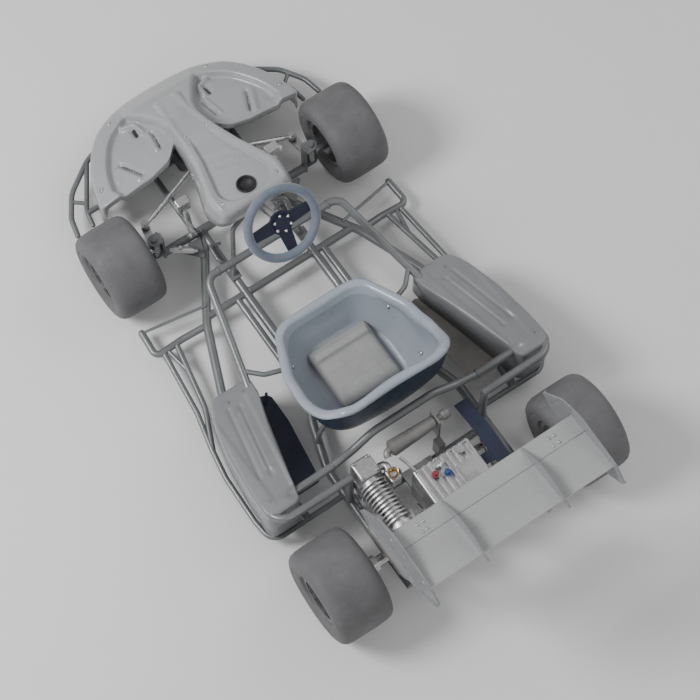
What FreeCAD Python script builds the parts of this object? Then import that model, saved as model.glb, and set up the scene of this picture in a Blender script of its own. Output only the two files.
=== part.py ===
"""Racing kart chassis, modelled as the separate pieces it is built from.

Frame: millimetres, +Z up, the driver faces -Y, the driver's left is +X.  The origin lies on the
ground under the middle of the kart's overall length, on its centre plane.
"""
import FreeCAD, Part
import os
from math import acos, atan2, cos, pi, radians, sin, sqrt, tan

V = FreeCAD.Vector
X_AXIS = V(1, 0, 0)

# ---------------------------------------------------------------- driving dimensions
LENGTH = 1800.0                 # nose tip to the wing end plates' rear tips
WHEELBASE = 1087.0
FRONT_AXLE_Y = -462.0
REAR_AXLE_Y = FRONT_AXLE_Y + WHEELBASE
FRONT_TRACK = 735.0             # tyre centre to tyre centre
REAR_TRACK = 760.0
FRONT_TYRE_D = 261.0
FRONT_TYRE_W = 155.0
REAR_TYRE_D = 280.0
REAR_TYRE_W = 165.0
RIM_BEAD_D = 127.0              # 5 inch wheels
FRONT_Z = FRONT_TYRE_D / 2
REAR_Z = REAR_TYRE_D / 2

RAIL_Z = 62.0                   # height of the lower frame tubes' centre line
RAIL_D = 25.0
SEAT_RAIL_D = 20.0
RING_D = 22.0                   # upper perimeter ring
LOOP_D = 16.0
JOIN = 0.15                     # welded pieces stand this far apart

MAIN_RAIL_X = 112.0
REAR_RAIL_X = 215.0
HOOP_Y = -259.0
HOOP_Z = 241.0
REAR_RING_Y = 366.0
POD_BAR_Y = 424.0
POD_BAR_Z = 236.0
REAR_CROSS_Y = 690.0
WAIST_Y = -232.0

KINGPIN_X = 258.0
KINGPIN_R = 5.0
RUN = 0.05                      # radial clearance of a running fit
STUB_R = 8.5

WHEEL_CENTRE = V(0, -205, 430)  # steering wheel
WHEEL_TILT = 53.0               # wheel plane from the horizontal
WHEEL_R = 98.5
GRIP_R = 12.5
COLUMN_R = 10.0
COLUMN_LENGTH = 456.0
PITMAN_T = 440.0                # distance of the pitman plate down the column
PITMAN_R = 38.3
ARM_LENGTH = 75.0               # kingpin to tie rod pin
ARM_INSET = 14.0
TIE_Z = 127.5
SLOT = [(17.6, 29.8), (18.7, 33.1), (19.0, 38.3), (17.6, 45.1), (13.9, 53.0)]   # pitman slot

AXLE_R = 15.0
CARRIER_X = 215.0
SPROCKET_X = -150.0
CHAIN_PITCH = 7.774
AXLE_TEETH = 54
OUTPUT_TEETH = 11
OUTPUT_Y = 522.0
OUTPUT_Z = 166.0
DISC_X = 98.0
DISC_R = 80.0

PEDAL_X = 145.0
PEDAL_Y = -452.0
PEDAL_Z = 92.0

WING_SPAN = 548.0
WING_FRONT_Y = 680.0
WING_SPLIT_Y = 737.0
WING_REAR_Y = 857.0

COLUMN_DIR = V(0, -sin(radians(WHEEL_TILT)), -cos(radians(WHEEL_TILT)))
COLUMN_DOWN = V(0, cos(radians(WHEEL_TILT)), -sin(radians(WHEEL_TILT)))


# ---------------------------------------------------------------- helpers
def box(x0, x1, y0, y1, z0, z1):
    return Part.makeBox(x1 - x0, y1 - y0, z1 - z0, V(x0, y0, z0))


def rod(start, end, radius):
    direction = end - start
    return Part.makeCylinder(radius, direction.Length, start, direction)


def cone(start, end, r_start, r_end):
    direction = end - start
    return Part.makeCone(r_start, r_end, direction.Length, start, direction)


def mirrored(shape):
    return shape.mirror(V(0, 0, 0), X_AXIS)


def pair(shape):
    return Part.makeCompound([shape, mirrored(shape)])


def corner(before, point, after, radius):
    """Tangent arc that rounds one corner: its two ends and its middle point."""
    to_before = (before - point).normalize()
    to_after = (after - point).normalize()
    half = acos(max(-1.0, min(1.0, to_before.dot(to_after)))) / 2
    reach = radius / tan(half)
    middle_way = (to_before + to_after).normalize()
    centre = point + middle_way * (radius / sin(half))
    return point + to_before * reach, centre - middle_way * radius, point + to_after * reach


def bent_wire(points, radii, closed=False):
    """Straight runs joined by tangent arcs; a radius of 0 leaves a sharp corner."""
    count = len(points)
    marks = []
    for i, point in enumerate(points):
        if radii[i] == 0 or (not closed and i in (0, count - 1)):
            marks.append((point, None, point))
        else:
            marks.append(corner(points[i - 1], point, points[(i + 1) % count], radii[i]))
    edges = []
    for i in range(count if closed else count - 1):
        start, end = marks[i][2], marks[(i + 1) % count][0]
        if (end - start).Length > 1e-6:
            edges.append(Part.LineSegment(start, end).toShape())
        nxt = marks[(i + 1) % count]
        if nxt[1] is not None and (closed or i < count - 2):
            edges.append(Part.Arc(*nxt).toShape())
    return Part.Wire(Part.__sortEdges__(edges))


def bar(points, bend, diameter):
    """Round bar along bent points; it stands for drawn tube in the frame."""
    radii = bend if isinstance(bend, (list, tuple)) else [bend] * len(points)
    wire = bent_wire(points, radii)
    profile = Part.Wire(Part.makeCircle(diameter / 2, points[0], points[1] - points[0]))
    return wire.makePipe(Part.Face(profile))


def largest(shape):
    """The biggest solid that a cut has left."""
    return max(shape.Solids, key=lambda solid: solid.Volume)


def plate_xy(points, radii, z0, z1):
    wire = bent_wire([V(x, y, z0) for x, y in points], radii, closed=True)
    return Part.Face(wire).extrude(V(0, 0, z1 - z0))


def plate_yz(points, radii, x0, x1):
    wire = bent_wire([V(x0, y, z) for y, z in points], radii, closed=True)
    return Part.Face(wire).extrude(V(x1 - x0, 0, 0))


def plate_xz(points, radii, y0, y1):
    wire = bent_wire([V(x, y0, z) for x, z in points], radii, closed=True)
    return Part.Face(wire).extrude(V(0, y1 - y0, 0))


def turned_x(profile, centre):
    """Solid of revolution about a line along X; profile is (x, radius) from the centre."""
    points = [V(centre.x + x, centre.y, centre.z + r) for x, r in profile]
    face = Part.Face(Part.makePolygon(points + [points[0]]))
    return face.revolve(centre, X_AXIS, 360)


def fuse(shapes):
    whole = shapes[0].multiFuse(shapes[1:]) if len(shapes) > 1 else shapes[0]
    return whole.removeSplitter()


def cut(shape, *tools):
    for tool in tools:
        shape = shape.cut(tool)
    return shape


def along_column(distance):
    return WHEEL_CENTRE + COLUMN_DIR * distance


# ---------------------------------------------------------------- lower frame
MAIN_BENDS = [0, 90, 120, 120, 0]
OUTER_BENDS = [0, 150, 200, 200, 0]


def main_rail_points():
    return [V(MAIN_RAIL_X, FRONT_AXLE_Y, RAIL_Z), V(MAIN_RAIL_X, 70, RAIL_Z),
            V(172, 180, RAIL_Z), V(REAR_RAIL_X, 315, RAIL_Z), V(REAR_RAIL_X, REAR_CROSS_Y + 20, RAIL_Z)]


def outer_rail_points():
    return [V(108, -452, RAIL_Z), V(253, -214, RAIL_Z), V(334, -10, RAIL_Z),
            V(352, 150, RAIL_Z), V(336, POD_BAR_Y - 20, RAIL_Z)]


def front_cross_points():
    return [V(-232, FRONT_AXLE_Y, RAIL_Z), V(232, FRONT_AXLE_Y, RAIL_Z)]


def side_bar_points():
    return [V(392, -219, 42), V(412, -20, 42), V(436, 90, 42), V(450, 180, 42), V(453, 330, 44),
            V(446, 404, 52), V(REAR_RAIL_X, 404, RAIL_Z)]


def main_rails():
    rail = bar(main_rail_points(), MAIN_BENDS, RAIL_D)
    return pair(largest(cut(rail, bar(front_cross_points(), 0, RAIL_D + 2 * JOIN))))


def outer_rails():
    rail = bar(outer_rail_points(), OUTER_BENDS, RAIL_D)
    rail = cut(rail, bar(main_rail_points(), MAIN_BENDS, RAIL_D + 2 * JOIN),
               bar(front_cross_points(), 0, RAIL_D + 2 * JOIN),
               bar(side_bar_points(), SIDE_BAR_BENDS, LOOP_D + 2 * JOIN))
    return pair(largest(rail))


def seat_rails():
    """Second tube beside each main rail, from the waist bracket to below the seat."""
    x = MAIN_RAIL_X + 30
    rail = bar([V(x, -268, RAIL_Z), V(x, 104, RAIL_Z)], 0, SEAT_RAIL_D)
    waist = bar([V(-260, WAIST_Y, RAIL_Z), V(260, WAIST_Y, RAIL_Z)], 0, RING_D + 2 * JOIN)
    main = bar(main_rail_points(), MAIN_BENDS, RAIL_D + 2 * JOIN)
    return pair(largest(cut(rail, waist, main)))


def cross_tubes():
    """Cross tubes from front to rear, the two rear stanchions and the hoop's cross tube."""
    main = bar(main_rail_points(), MAIN_BENDS, RAIL_D + 2 * JOIN)
    outer = bar(outer_rail_points(), OUTER_BENDS, RAIL_D + 2 * JOIN)
    front = bar(front_cross_points(), 0, RAIL_D)
    pieces = [front]
    half = bar([V(MAIN_RAIL_X, WAIST_Y, RAIL_Z), V(245, WAIST_Y, RAIL_Z)], 0, RING_D)
    half = largest(cut(half, main, outer))
    pieces += [half, mirrored(half)]
    for y, reach in ((WAIST_Y, MAIN_RAIL_X), (90, 122), (455, REAR_RAIL_X), (REAR_CROSS_Y, REAR_RAIL_X)):
        span = bar([V(-reach, y, RAIL_Z), V(reach, y, RAIL_Z)], 0, RING_D)
        pieces.append(largest(cut(span, main, mirrored(main))))
    post = bar([V(REAR_RAIL_X, POD_BAR_Y, RAIL_Z), V(REAR_RAIL_X, POD_BAR_Y, POD_BAR_Z)], 0, RING_D)
    post = cut(post, main, bar([V(195, POD_BAR_Y, POD_BAR_Z), V(250, POD_BAR_Y, POD_BAR_Z)], 0,
                               RING_D + 2 * JOIN))
    post = largest(post)
    hoop = bar([V(-176, HOOP_Y, HOOP_Z), V(176, HOOP_Y, HOOP_Z)], 0, RING_D)
    pieces += [post, mirrored(post), hoop]
    return Part.makeCompound(pieces)


# ---------------------------------------------------------------- upper perimeter ring
RING_BENDS = [0, 34, 260, 42, 0]


def upper_rail_points():
    return [V(176, HOOP_Y, HOOP_Z), V(212, HOOP_Y, HOOP_Z), V(284, 60, 166),
            V(398, REAR_RING_Y, 216), V(230, REAR_RING_Y, 222)]


def upper_rails():
    rail = bar(upper_rail_points(), RING_BENDS, RING_D)
    ends = [box(-1, 176 + JOIN, -300, -200, 200, 280), box(200, 230 + JOIN, 340, 400, 200, 260)]
    return pair(cut(rail, *ends))


def rear_hoop():
    points = [V(236, REAR_RING_Y + 0.4, 221), V(165, 362, 232), V(95, 356, 256)]
    points += [V(-p.x, p.y, p.z) for p in reversed(points)]
    hoop = bar(points, [0, 90, 90, 90, 90, 0], RING_D)
    return cut(hoop, box(230, 260, 300, 420, 180, 280), box(-260, -230, 300, 420, 180, 280))


POD_BAR_BENDS = [0, 250, 250, 44, 0]


def pod_bar_points():
    return [V(376, 34, 118), V(428, 180, 165), V(438, 300, 205), V(434, POD_BAR_Y, POD_BAR_Z),
            V(208, POD_BAR_Y, POD_BAR_Z)]


def pod_bars():
    return pair(bar(pod_bar_points(), POD_BAR_BENDS, RING_D))


# ---------------------------------------------------------------- side bars and front bumper
SIDE_BAR_BENDS = [0, 120, 120, 120, 60, 40, 0]


def side_bars():
    """Low side loops: lateral bar with a forward tip, two long tubes and a tie to the rail."""
    lateral = bar([V(262, -214, 58), V(330, -222, 46), V(416, -219, 42), V(411, -300, 42)],
                  [0, 60, 18, 0], 20)
    outer = bar(side_bar_points(), SIDE_BAR_BENDS, LOOP_D)
    inner = bar([V(350, -221, 45), V(386, -20, 44), V(436, 96, 42)], [0, 150, 0], LOOP_D)
    strut = bar([V(380, -221, 43), V(366, -130, 44)], 0, 12)
    tie = bar([V(226, -258, 76), V(408, -298, 46)], 0, 8)
    tip = Part.makeSphere(10, V(411, -300, 42))
    whole = fuse([lateral, outer, inner, strut, tie, tip])
    main = bar(main_rail_points(), MAIN_BENDS, RAIL_D + 2 * JOIN)
    rail = bar(outer_rail_points()[:4], OUTER_BENDS, RAIL_D + 2 * JOIN)
    return pair(largest(cut(whole, main, rail)))


def front_bumper():
    """Hoop behind the nose's lower edge, its side loops, and the stubs that carry it."""
    z = RAIL_Z
    side = [V(404, -640, z), V(392, -694, z), V(350, -760, z), V(262, -822, z), V(140, -868, z)]
    hoop_points = side + [V(-p.x, p.y, p.z) for p in reversed(side)]
    hoop = bar(hoop_points, [0, 60, 90, 120, 120, 120, 120, 90, 60, 0], LOOP_D)
    pieces = [hoop]
    for s in (1, -1):
        pieces.append(bar([V(s * 352, -644, z), V(s * 344, -690, z), V(s * 262, -822, z)], [0, 80, 0], 14))
        pieces.append(bar([V(s * 331, -711, z), V(s * 364, -738, z)], 0, 12))
        pieces.append(Part.makeSphere(LOOP_D / 2, V(s * 404, -640, z)))
        pieces.append(Part.makeSphere(7, V(s * 352, -644, z)))
        pieces.append(bar([V(s * 130, FRONT_AXLE_Y - RAIL_D / 2 - JOIN, z), V(s * 130, -868, z)], 0, 18))
    pieces.append(bar([V(-346, -684, z), V(346, -684, z)], 0, LOOP_D))
    return fuse(pieces)


# ---------------------------------------------------------------- front axle
def kingpin_yokes():
    """C brackets on the ends of the front cross tube, with the kingpin bolts."""
    x, y = KINGPIN_X, FRONT_AXLE_Y
    back = box(232 + JOIN, 239, y - 11, y + 11, 48, 175)
    ears = []
    for z in (88, 167):
        ear = plate_xy([(236, y - 18), (x + 17, y - 17), (x + 17, y + 17), (236, y + 18)],
                       [0, 16, 16, 0], z, z + 6)
        ears.append(ear)
    bracket = fuse([back] + ears).cut(rod(V(x, y, 40), V(x, y, 200), KINGPIN_R + 0.02))
    bolt = fuse([rod(V(x, y, 80), V(x, y, 181), KINGPIN_R),
                 Part.Face(hexagon(V(x, y, 173.2), 8.5)).extrude(V(0, 0, 7)),
                 Part.Face(hexagon(V(x, y, 80.8), 8.5)).extrude(V(0, 0, 7))])
    top = RAIL_Z + RAIL_D / 2 + JOIN
    gusset = plate_xy([(150, -376), (208, -440), (128, -440)], [6, 6, 6], top, top + 4)
    return pair(Part.makeCompound([bracket, bolt, gusset]))


def hexagon(centre, radius):
    points = [centre + V(radius * cos(k * pi / 3), radius * sin(k * pi / 3), 0) for k in range(7)]
    return Part.makePolygon(points)


def tie_pin_point():
    return V(KINGPIN_X - ARM_INSET, FRONT_AXLE_Y - sqrt(ARM_LENGTH ** 2 - ARM_INSET ** 2), TIE_Z)


def knuckle():
    """Left front knuckle: kingpin barrel, stub axle with its nut, and the steering arm."""
    x, y = KINGPIN_X, FRONT_AXLE_Y
    barrel = rod(V(x, y, 94.5), V(x, y, 166.5), 15)
    stub = rod(V(x + 8, y, FRONT_Z), V(FRONT_TRACK / 2 + 62, y, FRONT_Z), STUB_R)
    shoulder = rod(V(x + 8, y, FRONT_Z), V(FRONT_TRACK / 2 - 34.5, y, FRONT_Z), 13)
    nut_x = FRONT_TRACK / 2 + 44.5
    nut = rod(V(nut_x, y, FRONT_Z), V(nut_x + 9, y, FRONT_Z), 14)
    pin = tie_pin_point()
    arm = plate_xy([(x - 12, y + 4), (x + 11, y + 4), (pin.x + 12, pin.y - 4), (pin.x + 4, pin.y - 12),
                    (pin.x - 8, pin.y - 10), (pin.x - 12, pin.y)], [0, 0, 8, 8, 8, 8], 104, 112)
    stud = rod(V(pin.x, pin.y, 110), V(pin.x, pin.y, 139), 4)
    head = rod(V(pin.x, pin.y, 135), V(pin.x, pin.y, 140), 7.5)
    seat = rod(V(pin.x, pin.y, 111), V(pin.x, pin.y, 120.4), 7)
    whole = fuse([barrel, stub, shoulder, nut, arm, stud, head, seat])
    return whole.cut(rod(V(x, y, 60), V(x, y, 200), KINGPIN_R + RUN))


def tie_rod():
    """Left tie rod: outer eye on the knuckle's stud, inner stud in the pitman plate's hole."""
    pin = tie_pin_point()
    inner = pitman_hole()
    below = inner + COLUMN_DIR * 20
    eye = rod(V(pin.x, pin.y, 121), V(pin.x, pin.y, 134), 12)
    shank_start = V(pin.x - 8, pin.y, TIE_Z)
    way = (below - shank_start).normalize()
    shank = rod(shank_start, below, 5)
    sleeve = rod(shank_start + way * 20, below - way * 60, 7)
    rod_end = rod(below - COLUMN_DIR * 6.5, below + COLUMN_DIR * 6.5, 9)
    stud = rod(below, inner - COLUMN_DIR * 14, 4)
    cap = rod(inner - COLUMN_DIR * 12, inner - COLUMN_DIR * 16, 7)
    whole = fuse([eye, shank, sleeve, rod_end, stud, cap])
    return whole.cut(rod(V(pin.x, pin.y, 100), V(pin.x, pin.y, 160), 4 + RUN))


def pitman_hole():
    """Where the left tie rod's stud stands in the pitman plate at rest."""
    return along_column(PITMAN_T) - COLUMN_DOWN * PITMAN_R + V(19, 0, 0)


# ---------------------------------------------------------------- steering
def steering_column():
    """Column tube, top flange and the pitman plate at its foot."""
    shaft = rod(along_column(14), along_column(COLUMN_LENGTH), COLUMN_R)
    flange = rod(along_column(9), along_column(15), 29)
    boss = cone(along_column(15), along_column(40), 20, 13)
    collar = rod(along_column(177), along_column(183), 15)
    top = along_column(PITMAN_T - 3)
    up = COLUMN_DOWN * -1
    outline = [up * -16 - X_AXIS * 12, up * -16 + X_AXIS * 12, up * (PITMAN_R - 10) + X_AXIS * 32,
               up * (PITMAN_R + 25) + X_AXIS * 26, up * (PITMAN_R + 25) - X_AXIS * 26,
               up * (PITMAN_R - 10) - X_AXIS * 32]
    wire = bent_wire([top + p for p in outline], [8, 8, 10, 8, 8, 10], closed=True)
    plate = Part.Face(wire).extrude(COLUMN_DIR * 6)
    stops = SLOT + [((a + c) / 2, (b + d) / 2) for (a, b), (c, d) in zip(SLOT, SLOT[1:])]
    for across, above in stops:
        for side in (1, -1):
            spot = along_column(PITMAN_T) + up * above + X_AXIS * (side * across)
            plate = plate.cut(rod(spot - COLUMN_DIR * 20, spot + COLUMN_DIR * 20, 5.8))
    return fuse([shaft, flange, boss, collar, plate])


def support_leg(side, diameter):
    """Leg from a main rail up to the column's top bush."""
    foot = V(side * MAIN_RAIL_X, -292, RAIL_Z + RAIL_D / 2 + JOIN - 2)
    top = along_column(163) + V(side * 14, 0, -6)
    return bar([foot, V(side * 84, -326, 278), top], [0, 30, 0], diameter)


def steering_support():
    """Two legs up from the main rails to the top bush, and the lower bush on its own struts."""
    bush = rod(along_column(150), along_column(176), 18)
    pieces = [bush]
    for s in (1, -1):
        pieces.append(support_leg(s, 14))
        pieces.append(box(s * MAIN_RAIL_X - 16, s * MAIN_RAIL_X + 16, -308, -276,
                          RAIL_Z + RAIL_D / 2 + JOIN, RAIL_Z + RAIL_D / 2 + 5))
    upper = fuse(pieces)
    upper = cut(upper, rod(along_column(140), along_column(190), COLUMN_R + RUN),
                box(-200, 200, -400, -200, 0, RAIL_Z + RAIL_D / 2 + JOIN))
    low = along_column(392)
    pieces = [rod(along_column(382), along_column(402), 17)]
    for s in (1, -1):
        pieces.append(rod(V(s * 44, FRONT_AXLE_Y, RAIL_Z), low + V(s * 12, 3, -6), 7))
    lower = fuse(pieces)
    lower = cut(lower, rod(along_column(360), along_column(420), COLUMN_R + RUN),
                bar(front_cross_points(), 0, RAIL_D + 2 * JOIN))
    return Part.makeCompound([upper, lower])


def steering_wheel_rim():
    return Part.makeTorus(WHEEL_R, GRIP_R, WHEEL_CENTRE, COLUMN_DIR)


def steering_wheel_spokes():
    """Flat three-spoke plate bolted to the column's flange."""
    up = COLUMN_DOWN * -1
    top = WHEEL_CENTRE + COLUMN_DIR * 4
    hub = rod(top, top + COLUMN_DIR * 4.8, 34)
    pieces = [hub]
    for direction in (X_AXIS, X_AXIS * -1, up * -1):
        side = direction.cross(COLUMN_DIR)
        corners = [side * 21, side * 14 + direction * (WHEEL_R - 4), side * -14 + direction * (WHEEL_R - 4),
                   side * -21]
        wire = Part.makePolygon([top + c for c in corners] + [top + corners[0]])
        pieces.append(Part.Face(wire).extrude(COLUMN_DIR * 4.8))
    plate = fuse(pieces)
    boss = rod(WHEEL_CENTRE - COLUMN_DIR * 4, top, 22)
    plate = fuse([plate, boss])
    return plate.cut(Part.makeTorus(WHEEL_R, GRIP_R + JOIN, WHEEL_CENTRE, COLUMN_DIR))


# ---------------------------------------------------------------- pedals
def pedal_mounts():
    """Pivot brackets and pins for both pedals, and the heel loops behind them."""
    y, z = PEDAL_Y, PEDAL_Z
    base = RAIL_Z + RAIL_D / 2 + JOIN
    ears = []
    for x in (PEDAL_X - 16, PEDAL_X + 12):
        ears.append(plate_yz([(y - 13, base - 6), (y + 9, base - 6), (y + 9, z + 9), (y - 9, z + 9)],
                             [0, 0, 7, 7], x, x + 4))
    bracket = fuse(ears + [rod(V(PEDAL_X - 18, y, z), V(PEDAL_X + 18, y, z), 5)])
    bracket = bracket.cut(bar(front_cross_points(), 0, RAIL_D + 2 * JOIN))
    loop = bar([V(90, -398, RAIL_Z + 2), V(124, -398, RAIL_Z + 26), V(127, -345, RAIL_Z + 26),
                V(106, -330, RAIL_Z + 2)], [0, 12, 14, 0], 10)
    loop = loop.cut(bar(main_rail_points(), MAIN_BENDS, RAIL_D + 2 * JOIN))
    return pair(Part.makeCompound([bracket, loop]))


def pedal(x):
    """Pedal arm on its pivot with a ribbed alloy pad."""
    y, z = PEDAL_Y, PEDAL_Z
    arm = plate_yz([(y + 9, z - 9), (y + 9, z + 12), (y - 14, z + 122), (y - 30, z + 118),
                    (y - 9, z + 6), (y - 9, z - 9)], [8, 0, 4, 4, 0, 8], x - 6, x + 6)
    barrel = rod(V(x - 11.5, y, z), V(x + 11.5, y, z), 9)
    pad = box(x - 20, x + 20, y - 46, y - 20, z + 116, z + 160)
    pad = pad.makeFillet(4, pad.Edges)
    for k in range(4):
        height = z + 124 + 9 * k
        pad = pad.cut(box(x - 30, x + 30, y - 22, y - 10, height, height + 3))
    whole = fuse([arm, barrel, pad])
    return whole.cut(rod(V(x - 30, y, z), V(x + 30, y, z), 5 + RUN))


def master_cylinder():
    """Brake master cylinder on the left gusset, lying across the kart behind the pedal."""
    outer, inner = V(214, -440, 96), V(168, -408, 96)
    way = (inner - outer).normalize()
    body = rod(outer, inner, 10)
    lug = rod(outer - way * 10, outer, 6)
    boot = cone(inner, inner + way * 12, 9, 6)
    fitting = rod(outer + way * 20, outer + way * 20 + V(0, 0, 20), 5)
    foot = box(172, 186, -437, -420, RAIL_Z + RAIL_D / 2 + 4 + 2 * JOIN, 92)
    return fuse([body, lug, boot, fitting, foot])


# ---------------------------------------------------------------- wheels
def tyre(centre, diameter, width):
    """Slick: flat tread, round shoulders, hollow carcass down to the bead."""
    r, w = diameter / 2, width / 2
    bead = RIM_BEAD_D / 2 + 0.3
    half = [(w - 18, r), (w, r - 14), (w, bead + 20), (w - 20.5, bead + 9), (w - 22, bead),
            (w - 29, bead), (w - 29, bead + 13), (w - 7, bead + 28), (w - 7, r - 20), (w - 24, r - 7)]
    bends = [24, 24, 10, 4, 0, 0, 8, 12, 10, 12]
    points = [V(x, 0, z) for x, z in half] + [V(-x, 0, z) for x, z in reversed(half)]
    wire = bent_wire(points, bends + bends[::-1], closed=True)
    face = Part.Face(wire)
    face.translate(centre)
    return face.revolve(centre, X_AXIS, 360)


def rim(centre, width, side, bore, flange_x):
    """One-piece wheel: barrel with bead flanges and a dished web towards the hub."""
    w = width / 2 - 14
    r = RIM_BEAD_D / 2
    web = side * flange_x
    profile = [(-w, r - 3), (-w, r + 7), (-w + 4, r + 7), (-w + 6, r), (w - 6, r), (w - 4, r + 7),
               (w, r + 7), (w, r - 3), (web + 4, r - 4), (web + 4, bore), (web - 4, bore),
               (web - 4, r - 4)]
    return turned_x(profile, centre)


def front_rim(centre, side):
    """Front wheel with its bearing barrel, running on the stub axle."""
    shell = rim(centre, FRONT_TYRE_W, side, 24, 10)
    hub = rod(centre - V(side * 34, 0, 0), centre + V(side * 44, 0, 0), 25)
    whole = fuse([shell, hub])
    whole = whole.cut(rod(centre - X_AXIS * 100, centre + X_AXIS * 100, STUB_R + RUN))
    for k in range(6):
        angle = k * pi / 3
        spot = centre + V(0, 43 * cos(angle), 43 * sin(angle))
        whole = whole.cut(rod(spot - X_AXIS * 40, spot + X_AXIS * 40, 8.5))
    return whole


def rear_rims():
    rims = []
    for side in (1, -1):
        centre = V(side * REAR_TRACK / 2, REAR_AXLE_Y, REAR_Z)
        shell = rim(centre, REAR_TYRE_W, side, 20, -46)
        for k in range(6):
            angle = k * pi / 3
            radius, size = (29, 4.1) if k % 2 else (44, 8.0)
            spot = centre + V(-side * 46, radius * cos(angle), radius * sin(angle))
            shell = shell.cut(rod(spot - X_AXIS * 20, spot + X_AXIS * 20, size))
        rims.append(shell)
    return Part.makeCompound(rims)


def rear_tyres():
    return Part.makeCompound([tyre(V(s * REAR_TRACK / 2, REAR_AXLE_Y, REAR_Z), REAR_TYRE_D, REAR_TYRE_W)
                              for s in (1, -1)])


# ---------------------------------------------------------------- rear axle
def rear_axle():
    axle = rod(V(-352, REAR_AXLE_Y, REAR_Z), V(352, REAR_AXLE_Y, REAR_Z), AXLE_R)
    return axle.cut(rod(V(-360, REAR_AXLE_Y, REAR_Z), V(360, REAR_AXLE_Y, REAR_Z), AXLE_R - 4))


def rear_hubs():
    """Clamp hubs that carry the rear wheels, with their studs."""
    hubs = []
    for s in (1, -1):
        face = s * (REAR_TRACK / 2 - 46 - 4 - JOIN)
        barrel = rod(V(face - s * 62, REAR_AXLE_Y, REAR_Z), V(face, REAR_AXLE_Y, REAR_Z), 23)
        flange = rod(V(face - s * 9, REAR_AXLE_Y, REAR_Z), V(face, REAR_AXLE_Y, REAR_Z), 40)
        studs = []
        for k in (1, 3, 5):
            spot = V(face - s, REAR_AXLE_Y + 29 * cos(k * pi / 3), REAR_Z + 29 * sin(k * pi / 3))
            studs.append(rod(spot, spot + X_AXIS * (s * 24), 4))
            studs.append(rod(spot + X_AXIS * (s * 9.4), spot + X_AXIS * (s * 16), 7))
        hub = fuse([barrel, flange] + studs)
        hubs.append(hub.cut(rod(V(-500, REAR_AXLE_Y, REAR_Z), V(500, REAR_AXLE_Y, REAR_Z), AXLE_R + 0.02)))
    return Part.makeCompound(hubs)


def bearing_carriers():
    """Two carriers clamped on the main rails, each with its ball bearing's rings."""
    pieces = []
    for s in (1, -1):
        x = s * CARRIER_X
        y, z = REAR_AXLE_Y, REAR_Z
        low = RAIL_Z + RAIL_D / 2 + JOIN
        cheek = plate_yz([(y - 46, low), (y + 46, low), (y + 46, low + 14), (y + 30, z + 30), (y, z + 44),
                          (y - 30, z + 30), (y - 46, low + 14)], [0, 0, 6, 24, 30, 24, 6], x - 11, x + 11)
        cheek = cheek.cut(rod(V(x - 20, y, z), V(x + 20, y, z), 31.02))
        outer = rod(V(x - 8, y, z), V(x + 8, y, z), 31).cut(rod(V(x - 9, y, z), V(x + 9, y, z), 26))
        inner = rod(V(x - 8, y, z), V(x + 8, y, z), 21).cut(rod(V(x - 9, y, z), V(x + 9, y, z), AXLE_R + RUN))
        shield = rod(V(x - 7, y, z), V(x + 7, y, z), 26).cut(rod(V(x - 9, y, z), V(x + 9, y, z), 21))
        pieces += [cheek, fuse([outer, shield, inner])]
    return Part.makeCompound(pieces)


def gear_outline(centre, teeth, pitch):
    """Sprocket tooth outline as a polygon in the YZ plane."""
    pitch_r = pitch / (2 * sin(pi / teeth))
    points = []
    for k in range(teeth):
        for offset, depth in ((-0.28, -2.6), (-0.12, 2.0), (0.12, 2.0), (0.28, -2.6)):
            angle = (k + offset) * 2 * pi / teeth
            radius = pitch_r + depth
            points.append(centre + V(0, radius * cos(angle), radius * sin(angle)))
    return Part.makePolygon(points + [points[0]])


def axle_sprocket():
    """Rear sprocket on its split carrier."""
    x, y, z = SPROCKET_X, REAR_AXLE_Y, REAR_Z
    ring = Part.Face(gear_outline(V(x - 1.9, y, z), AXLE_TEETH, CHAIN_PITCH)).extrude(V(3.8, 0, 0))
    for k in range(6):
        angle = (k + 0.5) * pi / 3
        spot = V(x, y + 45 * cos(angle), z + 45 * sin(angle))
        ring = ring.cut(rod(spot - X_AXIS * 5, spot + X_AXIS * 5, 10))
    hub = rod(V(x + 1, y, z), V(x + 26, y, z), 24)
    flange = rod(V(x + 1, y, z), V(x + 8, y, z), 34)
    whole = fuse([ring, hub, flange])
    return whole.cut(rod(V(x - 30, y, z), V(x + 40, y, z), AXLE_R + 0.02))


def output_sprocket():
    """Output shaft of the transmission with its sprocket."""
    x, y, z = SPROCKET_X, OUTPUT_Y, OUTPUT_Z
    wheel = Part.Face(gear_outline(V(x - 1.9, y, z), OUTPUT_TEETH, CHAIN_PITCH)).extrude(V(3.8, 0, 0))
    shaft = rod(V(x - 12, y, z), V(-80, y, z), 8)
    return fuse([wheel, shaft])


def chain():
    """Two rows of side plates that wrap both sprockets; the teeth run between them."""
    big = V(0, REAR_AXLE_Y, REAR_Z)
    small = V(0, OUTPUT_Y, OUTPUT_Z)
    r_big = CHAIN_PITCH / (2 * sin(pi / AXLE_TEETH))
    r_small = CHAIN_PITCH / (2 * sin(pi / OUTPUT_TEETH))
    plates = []
    for x in (SPROCKET_X + 2.3, SPROCKET_X - 4.3):
        loops = [belt_wire(V(x, 0, 0) + big, V(x, 0, 0) + small, r_big + d, r_small + d) for d in (3.6, -3.4)]
        ring = Part.Face(loops[0]).cut(Part.Face(loops[1]))
        plates.append(ring.extrude(V(2, 0, 0)).Solids[0])
    return Part.makeCompound(plates)


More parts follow.
